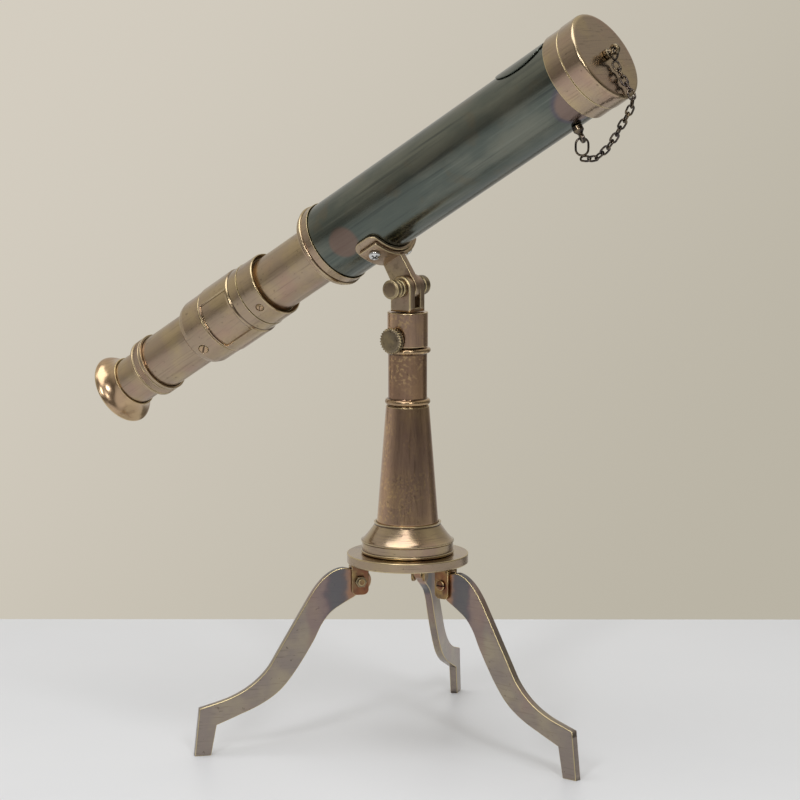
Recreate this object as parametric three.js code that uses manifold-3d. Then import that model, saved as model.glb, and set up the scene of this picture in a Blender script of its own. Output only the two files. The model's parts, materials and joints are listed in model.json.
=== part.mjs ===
// A table telescope in antique brass on a folding tripod.
// Millimetres, +Z up, feet on z = 0. The telescope lies in the XZ plane with its objective towards +X.
// Inside the telescope group, local +X runs along the tube from eye to objective.
// Its x = 0 is above the tilt pivot.

import * as THREE from 'three';
import { mergeVertices } from 'three/addons/utils/BufferGeometryUtils.js';
import Module from 'manifold-3d';

const wasm = await Module();
wasm.setup();

// ---------- driving dimensions ----------
const gap = 0.3; // running and resting clearance between neighbouring pieces
const roundSides = 20; // facets of a large turned piece
const pinSides = 12; // facets of a small pin or screw

// tripod
const discRadius = 34;
const discBottom = 103.6;
const discThickness = 5.4;
const legThickness = 4.4;
const footRadius = 122.5;
const hingeRadius = 28.2;
const hingeHeight = 94.6;
const hingePinRadius = 1.9;
const earThickness = 1.5;
const legAzimuths = [110.5, 229.5, 353.5]; // degrees, as the brackets were brazed on by hand

// column
const tieRodRadius = 2.3;
const drumRadius = 26;
const drumTop = 116.5;
const flareRadius = 18.9;
const flareTop = 126.8;
const coneTop = 192.2;
const coneBottomRadius = 17.2;
const coneTopRadius = 12.1;
const neckRadius = 10.85;
const beadRadius = 12.9;
const neckTop = 225.2;
const spigotRadius = 7.6;
const tieBoreTop = 215;

// head
const sleeveRadius = 11.3;
const sleeveTop = 244.7;
const thumbScrewHeight = 229.9;
const thumbKnobRadius = 7.3;
const forkHalfWidth = 6.8; // along X, and the radius of the rounded fork top
const forkHalfDepth = 7.4; // along Y
const slotHalfWidth = 2.6;
const slotBottom = 247.2;
const pivotHeight = 258.3;
const pivotPinRadius = 2.0;
const pivotKnobRadius = 5.6;

// telescope
const elevation = THREE.MathUtils.degToRad(31.5);
const axisAbovePivot = 44.8; // from the pivot to the tube axis, square to the tube
const barrelRadius = 23.3;
const barrelBore = 21.9;
const barrelRear = -30.5;
const barrelFront = 158;
const focusTubeRadius = 16.6; // the large draw tube
const eyeTubeRadius = 16.2; // the tube behind the focus grip
const ocularRadius = 14.3; // the small tube that carries the eye cup
const gripRear = -124.4;
const gripFront = -92.6;
const gripLobeRadius = 20.6;
const gripPanelRadius = 19.7;
const shoulderRear = -143;
const frontRingFront = -80;
const knurledRingRear = -188;
const knurledRingFront = -178.6;
const knurledRingRadius = 17.8;
const eyeCupRear = -216.4;
const eyeCupFront = -204.4;
const eyeCupRadius = 21.2;
const cellRear = 153.2;
const cellFront = 163.6;
const cellRadius = 25.2;
const spigotRim = 171.8;
const capFront = 175.5;
const capRadius = 25.5;
const focusKeyAngle = Math.PI; // the focus key and its slot lie on the upper side

// cradle
const cradleHalfLength = 6.7;
const wingInner = 25.75;
const wingOuter = 27.7;
const wingAngle = THREE.MathUtils.degToRad(46);
const armHalfThickness = 2.25;
const armEndRadius = 7.3;
const saddleInner = 23.6;
const saddleOuter = 25.45;
const saddleHalfLength = 8.3;
const saddleHalfWidth = 19.6;
const cradleScrewAngle = THREE.MathUtils.degToRad(34);

// chain
const chainPostStation = 142;
const chainPostAngle = THREE.MathUtils.degToRad(5);
const chainEyeTurn = THREE.MathUtils.degToRad(50); // of the post, so that its shackle hangs crosswise
const chainEyeRadius = 30.6; // from the tube axis to the eye on the barrel's post
const capEyeStation = 181.6;
const linkPitch = 4.6;
const linkWire = 0.6;
const linkHalfWidth = 1.7; // to the middle of the wire
const linkStretch = 1.7; // a link's length over its width

// ---------- finishes ----------
const finishes = {
  antique_brass: { color: 0x8d7660, roughness: 0.36, metalness: 1 },
  polished_brass: { color: 0xa68a5a, roughness: 0.28, metalness: 1 },
  dark_barrel: { color: 0x4a4d47, roughness: 0.3, metalness: 0.9 },
  dark_knurled: { color: 0x57493a, roughness: 0.5, metalness: 1 },
  steel_screw: { color: 0xb9bbbc, roughness: 0.22, metalness: 1 },
  heat_tinted: { color: 0x7d6050, roughness: 0.4, metalness: 1 },
  chain_bronze: { color: 0x5d4e3e, roughness: 0.38, metalness: 1 },
  optical_glass: { color: 0xdfe8ea, roughness: 0.05, metalness: 0 },
};

// ---------- helpers ----------
/** The same geometry with shared corners merged and slivers dropped. */
function closed(geometry) {
  geometry.deleteAttribute('normal');
  geometry.deleteAttribute('uv');
  const merged = mergeVertices(geometry, 1e-4);
  const index = merged.getIndex().array;
  const kept = [];
  for (let i = 0; i < index.length; i += 3) {
    const [a, b, c] = [index[i], index[i + 1], index[i + 2]];
    if (a !== b && b !== c && c !== a) kept.push(a, b, c);
  }
  merged.setIndex(kept);
  return merged;
}

/** A manifold solid with the geometry's surface. */
function toSolid(geometry) {
  const source = closed(geometry);
  const vertProperties = new Float32Array(source.getAttribute('position').array);
  const triVerts = new Uint32Array(source.getIndex().array);
  return new wasm.Manifold(new wasm.Mesh({ numProp: 3, vertProperties, triVerts }));
}

/** A geometry with the manifold solid's surface. */
function toGeometry(solid) {
  const mesh = solid.getMesh();
  const geometry = new THREE.BufferGeometry();
  geometry.setAttribute('position', new THREE.BufferAttribute(mesh.vertProperties, 3));
  geometry.setIndex(new THREE.BufferAttribute(mesh.triVerts, 1));
  return geometry;
}

/** The first geometry with all the others cut away. */
function cut(geometry, ...cutters) {
  const solid = cutters.reduce((left, cutter) => left.subtract(toSolid(cutter)), toSolid(geometry));
  return toGeometry(solid);
}

/** All the geometries joined into one. */
function join(...geometries) {
  return toGeometry(geometries.map(toSolid).reduce((left, right) => left.add(right)));
}

/** What the geometries have in common. */
function common(...geometries) {
  return toGeometry(geometries.map(toSolid).reduce((left, right) => left.intersect(right)));
}

/** A closed profile of [height, radius] points turned round +Z. Both travel directions are allowed. */
function turnedUp(profile, sides = roundSides) {
  const points = profile.map(([height, radius]) => new THREE.Vector2(radius, height));
  if (THREE.ShapeUtils.area(points) < 0) points.reverse();
  points.push(points[0].clone());
  const geometry = new THREE.LatheGeometry(points, sides);
  geometry.rotateX(Math.PI / 2);
  return closed(geometry);
}

/** A closed profile of [station, radius] points turned round the telescope's axis, local +X. */
function turnedAlong(profile, sides = roundSides) {
  return turnedUp(profile, sides).rotateY(Math.PI / 2);
}

/** A closed profile of [distance, radius] points turned round -Y, the side of the knobs' faces. */
function turnedSideways(profile, sides = roundSides) {
  return turnedUp(profile, sides).rotateX(Math.PI / 2);
}

/** A plain tube or disc along the telescope's axis. */
function tubeAlong(from, to, outer, inner) {
  return turnedAlong([[from, inner], [from, outer], [to, outer], [to, inner]]);
}

/** A shape drawn in X and Z, made a plate that is centred on y = 0. */
function plateXZ(shape, thickness, curveSegments = 8) {
  const geometry = new THREE.ExtrudeGeometry(shape, { depth: thickness, bevelEnabled: false, curveSegments });
  return geometry.translate(0, 0, -thickness / 2).rotateX(Math.PI / 2);
}

/** A shape drawn in X and Y, standing from low to high. */
function plateXY(shape, low, high, curveSegments = 8) {
  const settings = { depth: high - low, bevelEnabled: false, curveSegments };
  return new THREE.ExtrudeGeometry(shape, settings).translate(0, 0, low);
}

/** A box from its lowest to its highest corner. */
function block(low, high) {
  const size = high.map((value, axis) => value - low[axis]);
  const middle = high.map((value, axis) => (value + low[axis]) / 2);
  return new THREE.BoxGeometry(...size).translate(...middle);
}

/** A round pin along +Z. */
function pinUp(low, high, radius) {
  return turnedUp([[low, 0], [low, radius], [high, radius], [high, 0]], pinSides);
}

/** A rectangle with round corners, centred on the origin. */
function roundedRectangle(halfX, halfY, radius) {
  const shape = new THREE.Shape();
  shape.absarc(halfX - radius, halfY - radius, radius, 0, Math.PI / 2);
  shape.absarc(radius - halfX, halfY - radius, radius, Math.PI / 2, Math.PI);
  shape.absarc(radius - halfX, radius - halfY, radius, Math.PI, 1.5 * Math.PI);
  shape.absarc(halfX - radius, radius - halfY, radius, 1.5 * Math.PI, 2 * Math.PI);
  return shape;
}

function piece(name, finish, geometry) {
  const mesh = new THREE.Mesh(geometry, new THREE.MeshStandardMaterial(finishes[finish]));
  mesh.name = name;
  return mesh;
}

/** Adds named pieces to a group and returns the group. */
function gather(...pieces) {
  const group = new THREE.Group();
  group.add(...pieces);
  return group;
}

/** Turns a geometry that points along +Z so that it leaves the tube at a station, at an angle from below. */
function radially(geometry, station, angle) {
  return geometry.rotateX(Math.PI - angle).translate(station, 0, 0);
}

// ---------- tripod ----------
/** Leg outline in X (from the column's axis) and Y (height): a swan-neck strip that ends in a foot stub. */
function legOutline() {
  const crown = [[33.2, 101.4], [37.5, 102.2], [42.5, 101], [48, 97.5], [53.5, 91.5], [60.5, 80.5]];
  const instep = [[74, 58], [81, 46.8], [90, 38.3], [101, 32.3], [footRadius - 3, 26.8]];
  const belly = [[110, 17], [98, 21.7], [85, 27.2], [75, 33.7], [67, 42.5]];
  const throat = [[55, 61], [49.5, 71.5], [44.5, 77.6], [38.5, 81.6]];
  const toVectors = (points) => points.map(([x, y]) => new THREE.Vector2(x, y));
  const endRadius = 6.7;
  const shape = new THREE.Shape();
  shape.moveTo(hingeRadius, hingeHeight + endRadius);
  shape.splineThru(toVectors([...crown, ...instep]));
  shape.lineTo(footRadius, 0);
  shape.lineTo(footRadius - 9.2, 0);
  shape.lineTo(...belly[0]);
  const throatEnd = [hingeRadius + 3, hingeHeight - endRadius - 2.3];
  shape.splineThru(toVectors([...belly.slice(1), ...throat, throatEnd]));
  shape.absarc(hingeRadius, hingeHeight, endRadius, 1.5 * Math.PI, 0.5 * Math.PI, true);
  return shape;
}

/** Drill along Y for a clearance hole round a pin. */
function crossDrill(x, height, radius) {
  const reach = 20;
  const drill = turnedSideways([[-reach, 0], [-reach, radius], [reach, radius], [reach, 0]], pinSides);
  return drill.translate(x, 0, height);
}

function hingeDrill() {
  return crossDrill(hingeRadius, hingeHeight, hingePinRadius + gap);
}

function legGeometry() {
  return cut(plateXZ(legOutline(), legThickness, 2), hingeDrill());
}

/** A channel bracket: a web brazed under the disc and two ears that hold the leg between them. */
function bracketGeometry() {
  const halfWidth = 4.8;
  const earLow = 86.8;
  const webThickness = 1.4;
  const cornerRadius = 3;
  const top = discBottom - gap;
  const ear = new THREE.Shape();
  ear.moveTo(hingeRadius - halfWidth, top);
  const cornerOut = halfWidth - cornerRadius;
  ear.absarc(hingeRadius - cornerOut, earLow + cornerRadius, cornerRadius, Math.PI, 1.5 * Math.PI);
  ear.absarc(hingeRadius + cornerOut, earLow + cornerRadius, cornerRadius, 1.5 * Math.PI, 0);
  ear.lineTo(hingeRadius + halfWidth, top);
  const innerHalf = legThickness / 2 + gap;
  const blank = plateXZ(ear, 2 * (innerHalf + earThickness), 4);
  const slot = block(
    [hingeRadius - 2 * halfWidth, -innerHalf, earLow - 1],
    [hingeRadius + 2 * halfWidth, innerHalf, top - webThickness],
  );
  return cut(blank, slot, hingeDrill());
}

const earOuter = legThickness / 2 + gap + earThickness;

/** Slotted pan-head pin through both ears, head towards local -Y. */
function hingePinGeometry() {
  const headRadius = 2.9;
  const headTop = earOuter + gap + 1.5;
  const slotDepth = 0.6;
  const pin = turnedSideways([
    [-earOuter - 3.6, 0], [-earOuter - 3.6, hingePinRadius], [earOuter + gap, hingePinRadius],
    [earOuter + gap, headRadius], [headTop - 0.4, headRadius], [headTop, headRadius - 0.7], [headTop, 0],
  ], pinSides);
  pin.translate(hingeRadius, 0, hingeHeight);
  const slot = block(
    [hingeRadius - 4, -headTop - 1, hingeHeight - 0.35],
    [hingeRadius + 4, slotDepth - headTop, hingeHeight + 0.35],
  );
  return cut(pin, slot);
}

function hingeNutGeometry() {
  const hexSides = 6;
  const nut = turnedSideways([
    [-earOuter - gap - 2.2, 0], [-earOuter - gap - 2.2, 3.3], [-earOuter - gap, 3.3], [-earOuter - gap, 0],
  ], hexSides);
  return cut(nut.translate(hingeRadius, 0, hingeHeight), hingeDrill());
}

function tripodLeg(azimuth, index) {
  const number = index + 1;
  const group = gather(
    piece(`leg_${number}`, 'antique_brass', legGeometry()),
    piece(`leg_bracket_${number}`, 'heat_tinted', bracketGeometry()),
    piece(`hinge_pin_${number}`, 'heat_tinted', hingePinGeometry()),
    piece(`hinge_nut_${number}`, 'dark_knurled', hingeNutGeometry()),
  );
  group.rotation.z = THREE.MathUtils.degToRad(azimuth);
  return group;
}

// ---------- column ----------
function baseDisc() {
  const bore = tieRodRadius + gap;
  const top = discBottom + discThickness;
  const edge = 0.4;
  return piece('base_disc', 'antique_brass', turnedUp([
    [discBottom, bore], [discBottom, discRadius - edge], [discBottom + edge, discRadius],
    [top - edge, discRadius], [top, discRadius - edge], [top, bore],
  ], 24));
}

/** Stepped drum with a slightly hollow flare that rises to a sharp rim round the cone's foot. */
function baseFlange() {
  const bottom = discBottom + discThickness + gap;
  const bore = tieRodRadius + gap;
  const seat = coneBottomRadius + gap;
  const flareSteps = 3;
  const flare = [];
  for (let step = 0; step <= flareSteps; step += 1) {
    const share = step / flareSteps;
    const height = drumTop + (flareTop - 1.2 - drumTop) * share;
    flare.push([height, drumRadius - 0.4 - (drumRadius + 0.1 - flareRadius) * share ** 0.85]);
  }
  return piece('base_flange', 'antique_brass', turnedUp([
    [bottom, bore], [bottom, drumRadius - 0.6], [bottom + 0.8, drumRadius], [bottom + 1.6, drumRadius - 0.5],
    [drumTop - 1.8, drumRadius - 0.5], [drumTop - 1, drumRadius], ...flare,
    [flareTop, flareRadius], [flareTop, seat], [flareTop - 2.2, seat], [flareTop - 2.2, bore],
  ], 24));
}

/** Hollow cast cone, open below. */
function columnCone() {
  const bottom = flareTop - 2.2 + gap;
  const bore = tieRodRadius + gap;
  const wall = 4;
  return piece('column_cone', 'antique_brass', turnedUp([
    [bottom, coneBottomRadius - wall], [bottom, coneBottomRadius], [flareTop + 0.4, coneBottomRadius],
    [coneTop, coneTopRadius], [coneTop, bore], [coneTop - 8, bore], [coneTop - 8, coneTopRadius - wall],
  ]));
}

/** Neck between two beads, with the spigot that the head turns on. */
function columnNeck() {
  const bottom = coneTop + gap;
  const bore = tieRodRadius + gap;
  const spigotTop = 241.6;
  return piece('column_neck', 'antique_brass', turnedUp([
    [bottom, bore], [bottom, beadRadius - 0.8], [bottom + 1, beadRadius - 0.3],
    [bottom + 3.4, beadRadius - 0.3], [bottom + 4.4, beadRadius - 1], [bottom + 4.7, neckRadius],
    [neckTop - 3.8, neckRadius],
    [neckTop - 3.4, beadRadius - 0.7], [neckTop - 2.6, beadRadius], [neckTop - 0.9, beadRadius],
    [neckTop, beadRadius - 0.8], [neckTop, spigotRadius], [spigotTop, spigotRadius],
    [spigotTop, 0], [tieBoreTop, 0], [tieBoreTop, bore],
  ]));
}

/** Long bolt that draws disc, flange, cone and neck together from below. */
function tieBolt() {
  const headThickness = 3.2;
  const headRadius = 5.2;
  const headTop = discBottom - gap;
  const tip = tieBoreTop - 2;
  return piece('tie_bolt', 'dark_knurled', turnedUp([
    [headTop - headThickness, 0], [headTop - headThickness, headRadius], [headTop, headRadius],
    [headTop, tieRodRadius], [tip, tieRodRadius], [tip, 0],
  ], pinSides));
}

// ---------- head ----------
const thumbScrewRadius = 1.9;

function headSleeve() {
  const bottom = neckTop + gap;
  const bore = spigotRadius + gap;
  const ceiling = 242.1;
  const stemBore = 4.2;
  const sleeve = turnedUp([
    [bottom, bore], [bottom, sleeveRadius], [sleeveTop - 0.4, sleeveRadius], [sleeveTop, sleeveRadius - 0.4],
    [sleeveTop, stemBore], [ceiling, stemBore], [ceiling, bore],
  ]);
  const tappedHole = turnedSideways([
    [4, 0], [4, thumbScrewRadius + gap], [14, thumbScrewRadius + gap], [14, 0],
  ], pinSides).translate(0, 0, thumbScrewHeight);
  return piece('head_sleeve', 'antique_brass', cut(sleeve, tappedHole));
}

/** Fork milled from square bar: round tops, a slot for the arm, and a stem riveted into the sleeve. */
function fork() {
  const base = sleeveTop + gap;
  const stemLow = 242.4;
  const stemRadius = 3.9;
  const cornerRadius = 1.5;
  const outline = new THREE.Shape();
  outline.moveTo(-forkHalfWidth, base);
  outline.lineTo(forkHalfWidth, base);
  outline.absarc(0, pivotHeight, forkHalfWidth, 0, Math.PI);
  const side = plateXZ(outline, 2 * forkHalfDepth);
  const bar = roundedRectangle(forkHalfWidth, forkHalfDepth, cornerRadius);
  const plan = plateXY(bar, base, pivotHeight + 20, 3);
  const slot = block(
    [-2 * forkHalfWidth, -slotHalfWidth, slotBottom],
    [2 * forkHalfWidth, slotHalfWidth, pivotHeight + 2 * forkHalfWidth],
  );
  const stem = pinUp(stemLow, base + 0.5, stemRadius);
  const pinHole = crossDrill(0, pivotHeight, pivotPinRadius + gap);
  return piece('fork', 'antique_brass', cut(join(common(side, plan), stem), slot, pinHole));
}

/** Knurled head and shank in one, facing -Y. */
function thumbScrew() {
  const tip = spigotRadius + 0.4;
  const hubFrom = sleeveRadius + 0.5;
  const faceAt = 17.4;
  return piece('thumb_screw', 'dark_knurled', turnedSideways([
    [tip, 0], [tip, thumbScrewRadius], [hubFrom, thumbScrewRadius], [hubFrom, 4.2], [13.3, 4.2],
    [13.3, thumbKnobRadius - 0.6], [13.9, thumbKnobRadius], [faceAt - 0.7, thumbKnobRadius],
    [faceAt, thumbKnobRadius - 0.8], [faceAt, 0],
  ], 16).translate(0, 0, thumbScrewHeight));
}

/** Pivot bolt with its turned head on the -Y side. */
function pivotBolt() {
  const cheek = forkHalfDepth + gap;
  return piece('pivot_bolt', 'dark_knurled', turnedSideways([
    [-15.2, 0], [-15.2, pivotPinRadius], [cheek, pivotPinRadius], [cheek, 5.1], [cheek + 2, 5.1],
    [cheek + 2.4, 3.8], [cheek + 3.4, 3.8], [cheek + 3.8, 5.0], [cheek + 4.8, 5.0], [cheek + 5.2, 3.6],
    [cheek + 5.9, 3.6], [cheek + 6.1, pivotKnobRadius - 0.2], [cheek + 8.9, pivotKnobRadius - 0.2],
    [cheek + 9.6, pivotKnobRadius - 1.4], [cheek + 9.9, 0],
  ], 16).translate(0, 0, pivotHeight));
}

/** Round clamp nut on the +Y side. */
function pivotNut() {
  const cheek = -forkHalfDepth - gap;
  const bore = pivotPinRadius + gap;
  return piece('pivot_nut', 'dark_knurled', turnedSideways([
    [cheek, bore], [cheek, 4.6], [cheek - 2.2, 4.6], [cheek - 2.8, pivotKnobRadius],
    [cheek - 6.6, pivotKnobRadius], [cheek - 8, pivotKnobRadius - 1.2], [cheek - 8, bore],
  ], 16).translate(0, 0, pivotHeight));
}

// ---------- cradle under the barrel ----------
/** Clearance hole for a radial screw, pointing along +Z before it is turned into place. */
function screwHole(radius) {
  return pinUp(18, 34, radius + gap);
}

const cradleScrewRadius = 1.4;

/** Drills for the two cradle screws, one on each side. */
function cradleScrewHoles() {
  return [-1, 1].map((side) => radially(screwHole(cradleScrewRadius), 0, side * cradleScrewAngle));
}

/** Part of a round shell below the tube's axis, between two radii and two angles. */
function shellSector(inner, outer, halfAngle, halfLength) {
  const down = -Math.PI / 2;
  const shape = new THREE.Shape();
  shape.absarc(0, 0, outer, down - halfAngle, down + halfAngle);
  shape.absarc(0, 0, inner, down + halfAngle, down - halfAngle, true);
  const settings = { depth: 2 * halfLength, bevelEnabled: false, curveSegments: 10 };
  const geometry = new THREE.ExtrudeGeometry(shape, settings);
  return geometry.translate(0, 0, -halfLength).rotateX(Math.PI / 2).rotateZ(Math.PI / 2);
}

/** Curved pad between barrel and bracket, with round corners. */
function saddlePad() {
  const shell = tubeAlong(-2 * saddleHalfLength, 2 * saddleHalfLength, saddleOuter, saddleInner);
  const outline = roundedRectangle(saddleHalfLength, saddleHalfWidth, 5);
  const patch = plateXY(outline, -saddleOuter - 5, -5, 4);
  const holes = cradleScrewHoles();
  return piece('saddle_pad', 'antique_brass', cut(common(shell, patch), ...holes));
}

/** T bracket: two curved wings under the pad and the flat arm that drops into the fork. */
function cradleBracket() {
  const wings = shellSector(wingInner, wingOuter, wingAngle, cradleHalfLength);
  const arm = new THREE.Shape();
  arm.moveTo(-cradleHalfLength, -wingInner - 1);
  arm.absarc(0, -axisAbovePivot, armEndRadius, Math.PI, 2 * Math.PI);
  arm.lineTo(cradleHalfLength, -wingInner - 1);
  const holes = cradleScrewHoles();
  const pinHole = crossDrill(0, -axisAbovePivot, pivotPinRadius + gap);
  const blank = join(wings, plateXZ(arm, 2 * armHalfThickness, 8));
  return piece('cradle_bracket', 'antique_brass', cut(blank, pinHole, ...holes));
}

/** Pan-head screw with a cross recess, pointing along +Z before it is turned into place. */
function cradleScrew(name, angle) {
  const headLow = wingOuter + gap;
  const headRadius = 3.3;
  const screw = turnedUp([
    [barrelBore + gap, 0], [barrelBore + gap, cradleScrewRadius], [headLow, cradleScrewRadius],
    [headLow, headRadius], [headLow + 1.2, headRadius], [headLow + 2.1, headRadius - 1.3], [headLow + 2.3, 0],
  ], pinSides);
  const armLength = 1.9;
  const armWidth = 0.4;
  const recessLow = headLow + 1.3;
  const recess = join(
    block([-armLength, -armWidth, recessLow], [armLength, armWidth, recessLow + 3]),
    block([-armWidth, -armLength, recessLow], [armWidth, armLength, recessLow + 3]),
  );
  return piece(name, 'steel_screw', radially(cut(screw, recess), 0, angle));
}

// ---------- barrel and objective ----------
const chainPostShank = 1.2;

function mainBarrel() {
  const screwHoles = cradleScrewHoles();
  const postHole = radially(screwHole(chainPostShank), chainPostStation, chainPostAngle);
  const barrel = tubeAlong(barrelRear, barrelFront, barrelRadius, barrelBore);
  return piece('main_barrel', 'dark_barrel', cut(barrel, ...screwHoles, postHole));
}

/** Flanged ring at the barrel's mouth, with the guide bush for the large draw tube. */
function barrelRearRing() {
  const guideBore = focusTubeRadius + 0.4;
  const over = barrelRadius + gap;
  const stop = barrelRear - gap;
  const rear = barrelRear - 6.7;
  const lip = barrelRear + 1.9;
  const guideEnd = barrelRear + 12.5;
  const rimRadius = 25;
  return piece('barrel_rear_ring', 'antique_brass', turnedAlong([
    [rear, guideBore], [rear, rimRadius - 1], [rear + 1.6, rimRadius - 0.7], [rear + 2, rimRadius],
    [rear + 3.8, rimRadius], [rear + 4.2, rimRadius - 0.9], [lip, rimRadius - 0.9], [lip, over], [stop, over],
    [stop, barrelBore - gap], [guideEnd, barrelBore - gap], [guideEnd, guideBore],
  ]));
}

/** Oval plaque without markings, bent to the barrel near its front end. */
function ovalPlaque() {
  const halfLength = 17.5;
  const halfWidth = 10;
  const station = 133;
  const angle = THREE.MathUtils.degToRad(158);
  const shell = tubeAlong(station - 20, station + 20, barrelRadius + gap + 0.6, barrelRadius + gap);
  const outline = new THREE.Shape();
  outline.absellipse(0, 0, halfLength, halfWidth, 0, 2 * Math.PI);
  const patch = radially(plateXY(outline, 12, 30, 14), station, angle);
  return piece('oval_plaque', 'dark_barrel', common(shell, patch));
}

const lensSeat = 160.5;

/** Ring that screws over the barrel's front, seats the lens and carries the cap on its spigot. */
function objectiveCell() {
  const over = barrelRadius + gap;
  const lip = 19.4;
  const bore = 21;
  const inside = barrelFront + gap;
  return piece('objective_cell', 'antique_brass', turnedAlong([
    [cellRear, over], [cellRear, cellRadius - 0.3], [cellRear + 0.6, cellRadius], [cellFront, cellRadius],
    [cellFront, 23.8], [spigotRim, 23.8], [spigotRim, bore], [lensSeat, bore], [lensSeat, lip],
    [inside, lip], [inside, over],
  ]));
}

/** Lens with two curved faces: edge radius, rear edge station, edge thickness and rise of each face. */
function lensGeometry(radius, rear, edge, rise) {
  const steps = 2;
  const face = (station, direction) => {
    const points = [];
    for (let step = 0; step <= steps; step += 1) {
      const share = step / steps;
      points.push([station + direction * rise * (1 - share * share), radius * share]);
    }
    return points;
  };
  return turnedAlong([...face(rear, -1), ...face(rear + edge, 1).reverse()], 16);
}

function lensRetainingRing() {
  return piece('lens_retaining_ring', 'dark_knurled', tubeAlong(lensSeat + 3.4, lensSeat + 6.6, 20.7, 18.6));
}

/** Slip-on cap: a cup with a small hole in the middle for the swivel post. */
function lensCap() {
  const skirt = cellFront + gap;
  const inner = 24.1;
  const ceiling = capFront - 1.9;
  const postHole = 1.2;
  return piece('lens_cap', 'antique_brass', turnedAlong([
    [skirt, inner], [skirt, capRadius], [capFront - 2, capRadius], [capFront - 0.6, capRadius - 0.5],
    [capFront, capRadius - 1.8], [capFront, postHole], [ceiling, postHole], [ceiling, inner],
  ]));
}

// ---------- cap chain ----------
/** Post with a flat eye: along +Z, from the tip of its shank to the middle of the eye. */
function eyePost(shankLow, shankRadius, shoulder, stubRadius, stubTop, eyeMiddle) {
  const eyeOuter = 2.9;
  const eyeInner = 1.55;
  const eyeHalf = 0.8;
  const stub = turnedUp([
    [shankLow, 0], [shankLow, shankRadius], [shoulder, shankRadius], [shoulder, stubRadius],
    [stubTop - 0.5, stubRadius], [stubTop, stubRadius - 0.5], [stubTop, 0],
  ], pinSides);
  const eye = turnedSideways([[-eyeHalf, 0], [-eyeHalf, eyeOuter], [eyeHalf, eyeOuter], [eyeHalf, 0]], 16);
  const neck = pinUp(stubTop - 0.6, eyeMiddle - eyeInner - 0.3, 1.3);
  const hole = turnedSideways([[-3, 0], [-3, eyeInner], [3, eyeInner], [3, 0]], 12);
  return cut(join(stub, neck, eye.translate(0, 0, eyeMiddle)), hole.translate(0, 0, eyeMiddle));
}

function capPost() {
  const post = eyePost(capFront - 2.6, 0.9, capFront + gap, 2.9, 178.7, capEyeStation);
  return piece('cap_swivel_post', 'chain_bronze', post.rotateY(Math.PI / 2));
}

function barrelPost() {
  const post = eyePost(barrelBore + gap, chainPostShank, barrelRadius + gap, 2.9, 27.4, chainEyeRadius);
  post.rotateZ(chainEyeTurn);
  return piece('barrel_chain_post', 'chain_bronze', radially(post, chainPostStation, chainPostAngle));
}

/** Direction of gravity seen from the tilted tube. */
const gravity = new THREE.Vector3(-Math.sin(elevation), 0, -Math.cos(elevation));

/** Point at a station, an angle from below and a distance from the tube's axis. */
function tubePoint(station, angle, radius) {
  return new THREE.Vector3(station, -radius * Math.sin(angle), -radius * Math.cos(angle));
}

/** A round or stretched wire ring in the XZ plane. */
function wireRing(halfLength, halfWidth, wire) {
  const ring = new THREE.TorusGeometry(halfWidth, wire, 5, 12).rotateX(Math.PI / 2);
  const stretch = halfLength - halfWidth;
  const position = ring.getAttribute('position');
  for (let i = 0; i < position.count; i += 1) {
    position.setX(i, position.getX(i) + Math.sign(Math.round(position.getX(i) * 100)) * stretch);
  }
  return ring;
}

const capRingRadius = 2.9;
const capRingDrop = 2.5; // how far the ring's centre hangs below the post's eye
const capRingCentre = tubePoint(capEyeStation, 0, 0).addScaledVector(gravity, capRingDrop);
const shackleHalfLength = 4.6;
const shackleHalfWidth = 3.4;
const shackleWire = 0.6;
const shackleEye = tubePoint(chainPostStation, chainPostAngle, chainEyeRadius);
const shackleCentre = shackleEye.clone().addScaledVector(gravity, shackleHalfLength);

/** Puts a link's middle at a place with its length along a direction and its flat side turned by roll. */
function placeLink(geometry, middle, direction, roll) {
  const turn = new THREE.Quaternion().setFromUnitVectors(new THREE.Vector3(1, 0, 0), direction);
  return geometry.rotateX(roll).applyQuaternion(turn).translate(middle.x, middle.y, middle.z);
}

function capRing() {
  const ring = placeLink(wireRing(capRingRadius, capRingRadius, 0.6), capRingCentre, gravity, Math.PI / 2);
  return piece('cap_ring', 'chain_bronze', ring);
}

function chainShackle() {
  const link = wireRing(shackleHalfLength, shackleHalfWidth, shackleWire);
  const ring = placeLink(link, shackleCentre, gravity, chainEyeTurn - Math.PI / 2);
  return piece('chain_shackle', 'chain_bronze', ring);
}

/** The chain's line: down the cap's face, over its rim, then a free sag to the shackle. */
function chainLine() {
  const clear = 2.7; // keeps the end links just off the ring and the shackle
  const start = capRingCentre.clone().addScaledVector(gravity, capRingRadius + clear);
  const onFace = tubePoint(capFront + 2.5, 0, 16);
  const rim = tubePoint(capFront + 2, 0, capRadius + 2.6);
  const end = shackleCentre.clone().addScaledVector(gravity, shackleHalfLength + clear);
  const sag = 10;
  const hanging = [0.25, 0.5, 0.75].map((share) => {
    const point = rim.clone().lerp(end, share);
    return point.addScaledVector(gravity, 4 * sag * share * (1 - share));
  });
  return new THREE.CatmullRomCurve3([start, onFace, rim, ...hanging, end]);
}

/** Linked rings along a stretch of the chain's line, joined where they hook into each other. */
function chainRun(name, fromShare, toShare) {
  const line = chainLine();
  const linkCount = Math.round((line.getLength() * (toShare - fromShare)) / linkPitch);
  const links = [];
  for (let i = 0; i < linkCount; i += 1) {
    const share = fromShare + ((toShare - fromShare) * (i + 0.5)) / linkCount;
    const ring = new THREE.TorusGeometry(linkHalfWidth, linkWire, 5, 10).rotateX(Math.PI / 2);
    ring.scale(linkStretch, 1, 1);
    const roll = i % 2 === 0 ? Math.PI / 4 : -Math.PI / 4;
    links.push(placeLink(ring, line.getPointAt(share), line.getTangentAt(share), roll));
  }
  return piece(name, 'chain_bronze', join(...links));
}

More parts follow.
